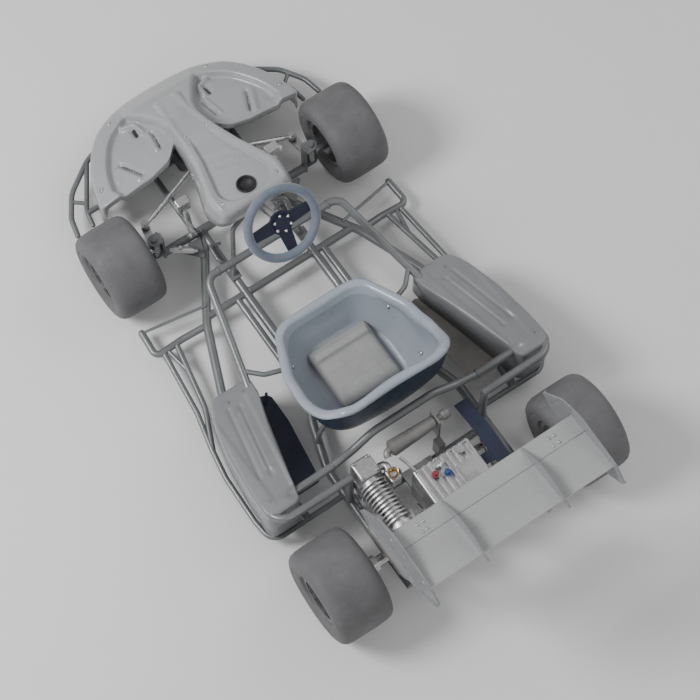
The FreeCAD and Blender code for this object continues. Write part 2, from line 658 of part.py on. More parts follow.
def belt_wire(big, small, r_big, r_small):
    """Open belt line round two circles in the YZ plane."""
    gap = small - big
    lean = atan2(gap.z, gap.y)
    spread = acos((r_big - r_small) / gap.Length)

    def at(centre, radius, angle):
        return centre + V(0, radius * cos(angle), radius * sin(angle))

    up, down = lean + spread, lean - spread
    far = lean + pi
    return Part.Wire([Part.LineSegment(at(big, r_big, up), at(small, r_small, up)).toShape(),
                      Part.Arc(at(small, r_small, up), at(small, r_small, lean),
                               at(small, r_small, down)).toShape(),
                      Part.LineSegment(at(small, r_small, down), at(big, r_big, down)).toShape(),
                      Part.Arc(at(big, r_big, down), at(big, r_big, far), at(big, r_big, up)).toShape()])


def brake_disc():
    """Ventilated-edge brake disc on its carrier."""
    x, y, z = DISC_X, REAR_AXLE_Y, REAR_Z
    disc = rod(V(x - 3, y, z), V(x + 3, y, z), DISC_R)
    for k in range(12):
        angle = k * pi / 6
        spot = V(x, y + 64 * cos(angle), z + 64 * sin(angle))
        disc = disc.cut(rod(spot - X_AXIS * 5, spot + X_AXIS * 5, 5))
    hub = rod(V(x, y, z), V(x + 24, y, z), 24)
    flange = rod(V(x, y, z), V(x + 8, y, z), 36)
    return fuse([disc, hub, flange]).cut(rod(V(x - 30, y, z), V(x + 40, y, z), AXLE_R + 0.02))


def brake_caliper():
    """Caliper with its two pads, bracketed to the rear cross tube."""
    x, y, z = DISC_X, REAR_AXLE_Y, REAR_Z
    body = box(x - 22, x + 22, y + 50, y + 96, z - 26, z + 26)
    body = body.makeFillet(6, body.Edges)
    slot = box(x - 8.5, x + 8.5, y + 40, y + 86, z - 30, z + 30)
    body = body.cut(slot)
    leg = box(x - 18, x + 18, y + 87, y + 95, 70, z - 20)
    body = fuse([body, leg])
    cross = bar([V(-230, REAR_CROSS_Y, RAIL_Z), V(230, REAR_CROSS_Y, RAIL_Z)], 0, RING_D + 2 * JOIN)
    clamp = box(x - 18, x + 18, REAR_CROSS_Y, y + 95, RAIL_Z - 15, RAIL_Z + 15)
    body = cut(fuse([body, clamp]), cross)
    pads = []
    for s in (1, -1):
        low, high = sorted((x + s * 3.5, x + s * 8.3))
        pads.append(box(low, high, y + 54, y + 82, z - 20, z + 20))
    return Part.makeCompound([body] + pads)


# ---------------------------------------------------------------- bodywork
NOSE_BACK_Y = -622.0
NOSE_OUTLINE = [(-328, -622), (-298, -730), (-231, -836), (-110, -900), (110, -900), (231, -836),
                (298, -730), (328, -622)]
NOSE_BENDS = [16, 300, 260, 260, 260, 260, 300, 16]


def nose_solid(inset, back):
    """Nose volume: plan outline under a roof that rises to the rear and to the middle."""
    scale = 1 - inset / 328
    points = [(x * scale, y + inset if y < NOSE_BACK_Y else back) for x, y in NOSE_OUTLINE]
    bottom = 74 - 4 * inset
    block = plate_xy(points, NOSE_BENDS, bottom, 330)
    side_roof = plate_yz([(-905, bottom - 5), (-905, 92 - inset), (-880, 128 - inset), (-800, 172 - inset),
                          (-700, 208 - inset), (back + 10, 240 - inset), (back + 10, bottom - 5)],
                         [0, 0, 60, 200, 200, 0, 0], -400, 400)
    cross_roof = plate_xz([(-420, bottom - 5), (-420, 128 - inset), (-190, 212 - inset), (0, 262 - inset),
                           (190, 212 - inset), (420, 128 - inset), (420, bottom - 5)],
                          [0, 0, 200, 300, 200, 0, 0], -920, back + 5)
    return block.common(side_roof).common(cross_roof)


def nose_fairing():
    shell = nose_solid(0, NOSE_BACK_Y).cut(nose_solid(4, NOSE_BACK_Y + 30))
    return cut(shell, fairing_solid(-JOIN))


FAIRING_STATIONS = [(-812, 44, 150, 196), (-740, 48, 150, 210), (-660, 57, 180, 248), (-600, 66, 215, 284),
                    (-525, 80, 250, 324), (-450, 99, 282, 357), (-400, 112, 298, 374), (-368, 113, 304, 379),
                    (-346, 103, 310, 379), (-333, 84, 314, 375), (-326, 56, 318, 370)]


def fairing_section(y, half, low, high, inset):
    half, high = half - inset, high - inset
    low = low - 25 * (1 if inset > 0 else 0)
    foot = half + 6
    points = [V(-foot, y, low), V(-half, y, high), V(half, y, high), V(foot, y, low)]
    return bent_wire(points, [0, 14, 14, 0], closed=True)


def fairing_solid(inset):
    wires = [fairing_section(y, half, low, high, inset) for y, half, low, high in FAIRING_STATIONS]
    return Part.makeLoft(wires, True, True)


def steering_fairing():
    """Spine that runs from the nose to a wide panel in front of the steering wheel."""
    stations = list(FAIRING_STATIONS)
    stations[0] = (stations[0][0] + 4,) + stations[0][1:]
    stations[-1] = (stations[-1][0] - 4,) + stations[-1][1:]
    inner = Part.makeLoft([fairing_section(*station, 3.5) for station in stations], True, True)
    shell = fairing_solid(0).cut(inner)
    legs = [support_leg(side, 16) for side in (1, -1)]
    return largest(cut(shell, rod(along_column(-20), along_column(420), COLUMN_R + 14), *legs))


POD_OUTLINE = [(262, 16), (384, 12), (410, 70), (436, 180), (448, 300), (450, 404), (352, 404), (336, 330),
               (291, 150), (267, 70)]
POD_BENDS = [16, 30, 120, 200, 120, 26, 24, 60, 100, 60]


def pod_solid(inset):
    cx = sum(p[0] for p in POD_OUTLINE) / len(POD_OUTLINE)
    cy = sum(p[1] for p in POD_OUTLINE) / len(POD_OUTLINE)
    points = []
    for x, y in POD_OUTLINE:
        reach = sqrt((x - cx) ** 2 + (y - cy) ** 2)
        keep = 1 - inset * 1.35 / reach
        points.append((cx + (x - cx) * keep, cy + (y - cy) * keep))
    low = 80 - 3 * inset
    block = plate_xy(points, POD_BENDS, low, 300)
    profile = [(0, 172 - inset), (60, 188 - inset), (360, 246 - inset), (412, 249 - inset)]
    roof = plate_yz([(0, low - 5)] + profile + [(412, low - 5)], [0, 0, 80, 80, 0, 0], 200, 500)
    across = [(200, 264 - inset), (340, 264 - inset), (470, 238 - inset)]
    tilt = plate_xz([(200, low - 5)] + across + [(470, low - 5)], [0, 0, 0, 0, 0], -10, 420)
    solid = block.common(roof).common(tilt)
    if inset == 0:
        edges = [e for e in solid.Edges if e.BoundBox.ZMin > 120 and e.BoundBox.ZLength < 90
                 and e.Length > 15]
        solid = solid.makeFillet(12, edges)
    return solid


def side_pod():
    """Moulded side pod, open below, fitted over the ring tube and the pod bar."""
    shell = pod_solid(0).cut(pod_solid(3.5))
    ring = bar(upper_rail_points(), RING_BENDS, RING_D + 2 * JOIN)
    side = bar(pod_bar_points(), POD_BAR_BENDS, RING_D + 2 * JOIN)
    return cut(shell, ring, side)


def side_tray():
    """Curved undertray panel between the seat and the pod, with a rolled front lip."""
    low = RAIL_Z + RAIL_D / 2 + 2 * JOIN
    panel = plate_xy([(262, 44), (330, 170), (336, 340), (250, 340), (226, 150), (226, 60)],
                     [16, 60, 14, 14, 80, 20], low, low + 3)
    lip = bar([V(232, 50, low + 4), V(254, 78, low + 4)], 0, 8)
    lip = lip.cut(box(200, 360, 0, 400, 0, low + 3))
    return fuse([panel, lip])


# ---------------------------------------------------------------- seat
SEAT_SECTIONS = [(112, 114, 30, 246, 58), (150, 148, 0, 270, 66), (200, 182, -48, 296, 76),
                 (255, 200, -54, 310, 84), (330, 202, -30, 322, 84), (410, 190, 40, 330, 80)]


def seat_section(z, half, front, back, radius, inset):
    taper = 0.72
    middle = front + 0.42 * (back - front)
    points = [V(-half * taper + inset, front + inset, z), V(half * taper - inset, front + inset, z),
              V(half - inset, middle, z), V(half - inset, back - inset, z),
              V(-half + inset, back - inset, z), V(-half + inset, middle, z)]
    bends = [radius * 0.9, radius * 0.9, 110, radius * 1.25, radius * 1.25, 110]
    return bent_wire(points, bends, closed=True)


def seat_rim_cut():
    """Everything above the seat's rim line, seen from the side."""
    return plate_yz([(-200, 205), (-60, 205), (40, 226), (150, 250), (225, 288), (288, 352), (318, 398),
                     (420, 400), (420, 600), (-200, 600)], [0, 60, 120, 120, 120, 60, 20, 0, 0, 0], -300, 300)


def seat_volume(inset, floor, top):
    """Bucket volume between its lowest and highest section, drawn in by inset."""
    sections = [list(section) for section in SEAT_SECTIONS]
    sections[0][0] += floor
    sections[-1][0] += top
    return Part.makeLoft([seat_section(*section, inset) for section in sections], True, False)


def seat_shell():
    return seat_volume(0, 0, 0).cut(seat_volume(7, 8, 20)).cut(seat_rim_cut())


def seat_pad():
    """Pad laid in the bottom of the bucket, with a raised roll at its front."""
    low = SEAT_SECTIONS[0][0] + 8.3
    base = plate_xy([(-97, 36), (97, 36), (97, 222), (-97, 222)], [18, 18, 24, 24], low, 152)
    roll = bar([V(-70, 62, 150), V(70, 62, 150)], 0, 18)
    return fuse([base, roll]).common(seat_volume(7.3, 8.3, 20))


def seat_struts():
    """Front and rear struts that hold the seat to the frame."""
    outer = seat_volume(-JOIN, -JOIN, 0)
    front = bar([V(270, -4, 181), V(228, 40, 186), V(158, 66, 192)], [0, 40, 0], 14)
    ring = bar(upper_rail_points(), RING_BENDS, RING_D + 2 * JOIN)
    rear = bar([V(196, 246, RAIL_Z), V(186, 238, 110), V(134, 222, 166)], [0, 26, 0], 14)
    main = bar(main_rail_points(), MAIN_BENDS, RAIL_D + 2 * JOIN)
    return pair(Part.makeCompound([largest(cut(front, outer, ring)), largest(cut(rear, outer, main))]))


# ---------------------------------------------------------------- power unit
def engine_crankcase():
    case = box(138, 198, 398, 458, 120, 262)
    case = case.makeFillet(7, case.Edges)
    cover = rod(V(131, 430, 190), V(139, 430, 190), 34)
    foot = box(144, 192, 402, 454, 88, 124)
    plate = box(112, 200, 396, 476, RAIL_Z + RING_D / 2 + JOIN, 90)
    side = rod(V(197, 436, 180), V(203.6, 436, 180), 26)
    return fuse([case, cover, foot, plate, side])


def engine_barrel():
    """Finned barrel and head lying along the kart."""
    x, z = 174.0, 230.0
    core = rod(V(x, 458 + JOIN, z), V(x, 604, z), 26)
    pieces = [core]
    for k in range(11):
        y = 470 + 11.5 * k
        pieces.append(rod(V(x, y, z), V(x, y + 4, z), 38 if k % 4 else 36))
    head = rod(V(x, 600, z), V(x, 618, z), 34)
    plug = rod(V(x, 617, z), V(x, 646, z), 7)
    cap = rod(V(x, 638, z), V(x, 652, z), 9.5)
    return fuse(pieces + [head, plug, cap])


def carburettor():
    body = box(100, 133, 462, 500, 206, 250)
    body = body.makeFillet(5, body.Edges)
    flange = rod(V(118, 458, 226), V(118, 464, 226), 17)
    bell = cone(V(120, 484, 249), V(120, 484, 264), 11, 14)
    neck = bar([V(131, 436, 222), V(112, 440, 226), V(118, 463, 226)], [0, 10, 0], 22)
    spindle = rod(V(92, 482, 232), V(101, 482, 232), 4)
    carb = fuse([body, flange, bell, neck, spindle])
    return cut(carb, engine_crankcase(), engine_barrel())


def throttle_lever():
    """Lever on the carburettor spindle."""
    lever = plate_yz([(475, 225), (489, 225), (486, 262), (478, 262)], [6, 6, 3, 3], 95, 98)
    return lever.cut(rod(V(90, 482, 232), V(100, 482, 232), 4 + RUN))


def intake_silencer():
    """Tapered silencer behind the seat with its elbow, bracket and end cap."""
    body = cone(V(78, 416, 236), V(-56, 416, 236), 23, 17)
    lip = rod(V(82, 416, 236), V(76, 416, 236), 19)
    elbow = bar([V(80, 416, 236), V(96, 418, 236), V(98, 432, 232)], [0, 12, 0], 20)
    bracket = box(-66, -60, 392, 436, 150, 256)
    neck = rod(V(-50, 416, 236), V(-80, 416, 240), 8)
    knob = rod(V(-78, 416, 240), V(-106, 416, 240), 15)
    knob = knob.makeFillet(9, knob.Edges[:1] + knob.Edges[2:])
    foot = box(-66, -46, 434, 462, RAIL_Z + RING_D / 2 + JOIN, 154)
    return fuse([body, lip, elbow, bracket, neck, knob, foot])


def transmission_case():
    """Finned aluminium case over the rear cross tube that drives the chain."""
    low = box(-101, 74, 502, 598, 84, 176)
    low = low.makeFillet(6, low.Edges)
    top = box(-101, 74, 502, 642, 174, 250)
    top = top.makeFillet(7, top.Edges)
    pieces = [low, top]
    for k in range(9):
        x = -94 + 19 * k
        pieces.append(box(x, x + 6, 508, 636, 246, 260))
    for x in (-62, 10):
        pieces.append(rod(V(x, 526, 248), V(x, 526, 268), 11))
    lid = box(-92, -28, 556, 630, 248, 263)
    pieces.append(lid)
    skid = box(-30, 64, 446, 590, RAIL_Z + RING_D / 2 + JOIN, 86)
    link = bar([V(74, 448, 238), V(66, 470, 233), V(58, 504, 226)], [0, 30, 0], 9)
    pieces += [skid, link]
    boss = rod(V(-114, OUTPUT_Y, OUTPUT_Z), V(-100, OUTPUT_Y, OUTPUT_Z), 20)
    pieces.append(boss)
    case = fuse(pieces)
    case = case.cut(rod(V(-120, OUTPUT_Y, OUTPUT_Z), V(-78, OUTPUT_Y, OUTPUT_Z), 8 + RUN))
    return case


def chain_guard():
    """Folded guard over the top run of the chain."""
    top = plate_yz([(404, 212), (470, 226), (560, 232), (650, 224), (650, 227.5), (560, 235.5), (470, 229.5),
                    (404, 215.5)], [0, 60, 120, 0, 0, 120, 60, 0], -171, -131)
    skirt = plate_yz([(404, 196), (470, 208), (560, 216), (650, 208), (650, 227), (560, 235), (470, 229),
                      (404, 215)], [0, 60, 120, 0, 0, 120, 60, 0], -171, -168)
    tab = box(-140, -101.2, 560, 590, 228, 233)
    return fuse([top, skirt, tab])


def exhaust_pipe():
    pipe = bar([V(205, 556, 228), V(240, 566, 232), V(240, 752, 262), V(184, 752, 266)], [0, 16, 40, 0], 32)
    return cut(pipe, engine_barrel(), box(170, 183 + JOIN, 720, 790, 220, 300))


def exhaust_silencer():
    can = rod(V(183, 752, 266), V(-110, 752, 266), 36)
    outlet = bar([V(-108, 752, 266), V(-140, 752, 266), V(-164, 790, 270)], [0, 26, 0], 28)
    hanger = box(-16, 0, 700, 756, 226, 232)
    leg = box(-16, 0, 684, 704, RAIL_Z + RING_D / 2 + JOIN, 232)
    return fuse([can, outlet, hanger, leg])


# ---------------------------------------------------------------- wing
def wing_main_plane():
    half = WING_SPAN / 2
    return plate_yz([(WING_FRONT_Y, 542), (WING_FRONT_Y + 5, 549), (WING_SPLIT_Y, 553), (WING_SPLIT_Y, 545),
                     (WING_FRONT_Y + 18, 536)], [2, 5, 0, 0, 10], -half, half)


def wing_flap():
    half = WING_SPAN / 2
    y = WING_SPLIT_Y + 1
    return plate_yz([(y, 545), (y, 554), (WING_REAR_Y, 572), (WING_REAR_Y, 567), (y + 50, 548)],
                    [3, 4, 0, 0, 60], -half, half)


def wing_end_plates():
    x = WING_SPAN / 2 + JOIN
    y_tip = LENGTH / 2
    outline = [(571, 462), (606, 438), (800, 452), (y_tip, 536), (y_tip, 552), (860, 586), (710, 594),
               (640, 560)]
    plate = plate_yz(outline, [4, 14, 60, 3, 3, 20, 60, 60], x, x + 5)
    lip = plate_yz([(571, 462), (606, 438), (800, 452), (y_tip, 536), (y_tip, 540), (800, 457), (606, 443),
                    (574, 465)], [0, 14, 60, 0, 0, 60, 12, 0], x + 5, x + 10)
    return pair(fuse([plate, lip]))


def wing_fences():
    """Two thin strakes on the flap and main plane."""
    fence = plate_yz([(684, 550.5), (740, 555), (858, 573.2), (884, 574), (884, 584), (830, 600), (760, 598)],
                     [0, 0, 0, 0, 4, 30, 60], 119, 123)
    blank = wing_main_plane().fuse(wing_flap())
    fence = fence.cut(blank)
    return pair(fence)


def wing_stays():
    """Two uprights from the rear cross tube to the wing's underside."""
    base = RAIL_Z + RAIL_D / 2
    stay = bar([V(198, REAR_CROSS_Y + 6, base - 20), V(198, 702, 300), V(198, 712, 560)], [0, 300, 0], 16)
    pad = box(184, 212, 694, 732, 530, 552)
    foot = box(186, 206, REAR_CROSS_Y + 2, REAR_CROSS_Y + 22, 50, 90)
    stay = fuse([stay, pad, foot])
    cross = bar([V(-240, REAR_CROSS_Y, RAIL_Z), V(240, REAR_CROSS_Y, RAIL_Z)], 0, RING_D + 2 * JOIN)
    rail = bar(main_rail_points(), MAIN_BENDS, RAIL_D + 2 * JOIN)
    above = plate_yz([(660, 536), (WING_FRONT_Y + 18, 536), (WING_SPLIT_Y, 545), (760, 545), (760, 640),
                      (660, 640)], [0, 10, 0, 0, 0, 0], 150, 250)
    return pair(cut(stay, cross, rail, above))


def fuel_tank():
    tank = box(-66, 66, -800, -630, RAIL_Z + LOOP_D / 2 + JOIN, 146)
    tank = tank.makeFillet(16, tank.Edges)
    neck = rod(V(0, -668, 140), V(0, -668, 156), 17)
    cap = rod(V(0, -668, 156), V(0, -668, 170), 22)
    return fuse([tank, neck, cap])


# ---------------------------------------------------------------- the kart
def front_wheel_centre(side):
    return V(side * FRONT_TRACK / 2, FRONT_AXLE_Y, FRONT_Z)


def kart():
    left_knuckle, left_tie = knuckle(), tie_rod()
    pod = side_pod()
    tray = side_tray()
    nodes = {
        "main_rails": main_rails(), "outer_rails": outer_rails(), "seat_rails": seat_rails(),
        "cross_tubes": cross_tubes(), "upper_rails": upper_rails(),
        "rear_hoop": rear_hoop(), "pod_bars": pod_bars(), "steering_support": steering_support(),
        "kingpin_yokes": kingpin_yokes(), "side_bars": side_bars(), "front_bumper": front_bumper(),
        "nose_fairing": nose_fairing(), "steering_fairing": steering_fairing(),
        "side_pod_left": pod, "side_pod_right": mirrored(pod),
        "seat_shell": seat_shell(), "seat_pad": seat_pad(), "seat_struts": seat_struts(),
        "side_tray_left": tray, "side_tray_right": mirrored(tray),
        "bearing_carriers": bearing_carriers(), "engine_crankcase": engine_crankcase(),
        "engine_barrel": engine_barrel(), "carburettor": carburettor(), "throttle_lever": throttle_lever(),
        "intake_silencer": intake_silencer(), "transmission_case": transmission_case(),
        "chain_guard": chain_guard(), "chain": chain(), "exhaust_pipe": exhaust_pipe(),
        "exhaust_silencer": exhaust_silencer(), "wing_main_plane": wing_main_plane(),
        "wing_flap": wing_flap(), "wing_end_plates": wing_end_plates(), "wing_fences": wing_fences(),
        "wing_stays": wing_stays(), "fuel_tank": fuel_tank(), "master_cylinder": master_cylinder(),
        "brake_caliper": brake_caliper(), "pedal_mounts": pedal_mounts(),
        "brake_pedal": pedal(PEDAL_X), "throttle_pedal": pedal(-PEDAL_X),
        "steering_wheel_rim": steering_wheel_rim(), "steering_wheel_spokes": steering_wheel_spokes(),
        "steering_column": steering_column(), "knuckle_left": left_knuckle,
        "knuckle_right": mirrored(left_knuckle), "tie_rod_left": left_tie,
        "tie_rod_right": mirrored(left_tie),
        "front_tyre_left": tyre(front_wheel_centre(1), FRONT_TYRE_D, FRONT_TYRE_W),
        "front_tyre_right": tyre(front_wheel_centre(-1), FRONT_TYRE_D, FRONT_TYRE_W),
        "front_rim_left": front_rim(front_wheel_centre(1), 1),
        "front_rim_right": front_rim(front_wheel_centre(-1), -1),
        "rear_tyres": rear_tyres(), "rear_rims": rear_rims(), "rear_axle": rear_axle(),
        "rear_hubs": rear_hubs(), "axle_sprocket": axle_sprocket(), "brake_disc": brake_disc(),
        "output_sprocket": output_sprocket(),
    }
    return nodes


def main():
    os.makedirs("parts", exist_ok=True)
    for name, shape in kart().items():
        shape.exportStep("parts/%s.step" % name)
        solids = shape.Solids
        print("%-22s %2d solid(s) %10.0f mm3 %s" % (name, len(solids), shape.Volume,
                                                   "" if shape.isValid() and solids else "INVALID"))


main()
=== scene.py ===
from math import acos, cos, exp, pi, radians, sin, sqrt, tan

import bmesh
import bpy
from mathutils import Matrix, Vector, noise


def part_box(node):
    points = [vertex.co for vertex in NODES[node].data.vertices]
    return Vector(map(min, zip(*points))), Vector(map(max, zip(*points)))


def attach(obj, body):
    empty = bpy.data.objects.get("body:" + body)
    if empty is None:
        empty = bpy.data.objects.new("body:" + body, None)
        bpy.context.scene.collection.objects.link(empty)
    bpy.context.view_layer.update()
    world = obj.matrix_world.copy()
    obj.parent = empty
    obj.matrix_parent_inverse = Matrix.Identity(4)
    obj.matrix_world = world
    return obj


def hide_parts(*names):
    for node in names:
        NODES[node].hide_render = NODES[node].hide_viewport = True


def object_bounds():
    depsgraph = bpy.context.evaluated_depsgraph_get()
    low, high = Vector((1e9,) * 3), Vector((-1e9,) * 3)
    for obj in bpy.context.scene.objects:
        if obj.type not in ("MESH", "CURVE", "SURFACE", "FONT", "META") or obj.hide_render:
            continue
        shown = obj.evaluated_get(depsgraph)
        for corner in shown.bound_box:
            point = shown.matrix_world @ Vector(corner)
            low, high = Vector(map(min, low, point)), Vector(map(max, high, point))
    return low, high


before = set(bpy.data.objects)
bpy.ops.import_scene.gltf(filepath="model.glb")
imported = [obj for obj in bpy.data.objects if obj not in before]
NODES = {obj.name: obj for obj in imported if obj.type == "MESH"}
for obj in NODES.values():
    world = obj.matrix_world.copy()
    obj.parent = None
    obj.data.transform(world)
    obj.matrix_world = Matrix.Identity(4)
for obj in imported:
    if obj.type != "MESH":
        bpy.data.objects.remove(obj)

# Lengths in this file are millimetres, in the frame's axes (+X kart's left, forward -Y, +Z up), unless a
# comment says metres.  MM turns them into the metres of the scene.
CAD_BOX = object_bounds()
MM = 0.001
V = Vector
UP = (0, 0, 1)
SIDES = ((1, "left"), (-1, "right"))
BODY_SKIN = 0.0035      # metres: wall of the moulded bodywork
SHADE_STRIP_SKIN = 0.0006     # metres: thickness of a dark strip of painted shade
WELD_TOGETHER = 1e-6    # metres: vertices closer than this are one


# ------------------------------------------------------------------ materials
def links(tree, pairs):
    """Joins each output to its input."""
    for out, socket in pairs:
        tree.links.new(out, socket)


def node(tree, kind, **values):
    """New shader node; each value sets the input of that name, or else the property."""
    item = tree.nodes.new(kind)
    for key, value in values.items():
        if key in item.inputs.keys():
            item.inputs[key].default_value = value
        else:
            setattr(item, key, value)
    return item


def ramp(tree, source, low, high, c_low, c_high):
    """Turns a grey value into a colour between c_low (at low) and c_high (at high)."""
    item = tree.nodes.new("ShaderNodeValToRGB")
    item.color_ramp.elements[0].position = low
    item.color_ramp.elements[1].position = high
    item.color_ramp.elements[0].color = (*c_low, 1)
    item.color_ramp.elements[1].color = (*c_high, 1)
    tree.links.new(source, item.inputs[0])
    return item.outputs[0]


def shade(color, k):
    """The colour made k times lighter."""
    return tuple(min(1.0, c * k) for c in color)


ROUGH_VARY = 0.12
COAT_ROUGH = 0.12


def surface(name, color, rough, metal, vary, scale, grain, bump, depth, stretch=(1, 1, 1), coat=0.0,
            sheen=0.0, spots=None, grain_kind="noise"):
    """Layered procedural material: broad tone shifts, fine grain in the bump, uneven roughness, spots.

    vary is the share of the tone shift, scale its noise; grain, bump and depth (metres) are the fine
    relief; spots is (tint, amount, scale).
    """
    material = bpy.data.materials.new(name)
    material.use_nodes = True
    tree = material.node_tree
    shader = tree.nodes["Principled BSDF"]
    where = node(tree, "ShaderNodeTexCoord").outputs["Object"]
    mapped = node(tree, "ShaderNodeMapping", Scale=stretch)
    broad = node(tree, "ShaderNodeTexNoise", Scale=scale, Detail=5.0, Roughness=0.6)
    links(tree, [(where, mapped.inputs["Vector"]), (where, broad.inputs["Vector"])])
    tone = ramp(tree, broad.outputs["Fac"], 0.32, 0.68, shade(color, 1 - vary), shade(color, 1 + vary))
    if grain_kind == "voronoi":
        fine = node(tree, "ShaderNodeTexVoronoi", Scale=grain, feature="F1")
        height = fine.outputs["Distance"]
    else:
        fine = node(tree, "ShaderNodeTexNoise", Scale=grain, Detail=4.0, Roughness=0.65)
        height = fine.outputs["Fac"]
    if spots:
        tint, amount, size = spots
        speck = node(tree, "ShaderNodeTexNoise", Scale=size, Detail=6.0, Roughness=0.7)
        tree.links.new(where, speck.inputs["Vector"])
        mask = ramp(tree, speck.outputs["Fac"], 0.62 - 0.12 * amount, 0.72, (0, 0, 0), (1, 1, 1))
        mix = node(tree, "ShaderNodeMix", data_type="RGBA")
        weight = node(tree, "ShaderNodeMath", operation="MULTIPLY")
        weight.inputs[1].default_value = amount
        links(tree, [(mask, weight.inputs[0]), (weight.outputs[0], mix.inputs[0]), (tone, mix.inputs[6])])
        mix.inputs[7].default_value = (*tint, 1)
        tone = mix.outputs[2]
    uneven = node(tree, "ShaderNodeMapRange")
    for key, value in (("From Min", 0.3), ("From Max", 0.7), ("To Min", max(0.03, rough - ROUGH_VARY)),
                       ("To Max", min(1.0, rough + ROUGH_VARY))):
        uneven.inputs[key].default_value = value
    patch = node(tree, "ShaderNodeTexNoise", Scale=scale * 5, Detail=6.0, Roughness=0.7)
    relief = node(tree, "ShaderNodeBump", Strength=bump, Distance=depth)
    links(tree, [(mapped.outputs["Vector"], fine.inputs["Vector"]),
                 (tone, shader.inputs["Base Color"]),
                 (mapped.outputs["Vector"], patch.inputs["Vector"]),
                 (patch.outputs["Fac"], uneven.inputs["Value"]),
                 (uneven.outputs["Result"], shader.inputs["Roughness"]),
                 (height, relief.inputs["Height"]),
                 (relief.outputs["Normal"], shader.inputs["Normal"])])
    shader.inputs["Metallic"].default_value = metal
    shader.inputs["Coat Weight"].default_value = coat
    shader.inputs["Coat Roughness"].default_value = COAT_ROUGH
    shader.inputs["Sheen Weight"].default_value = sheen
    return material


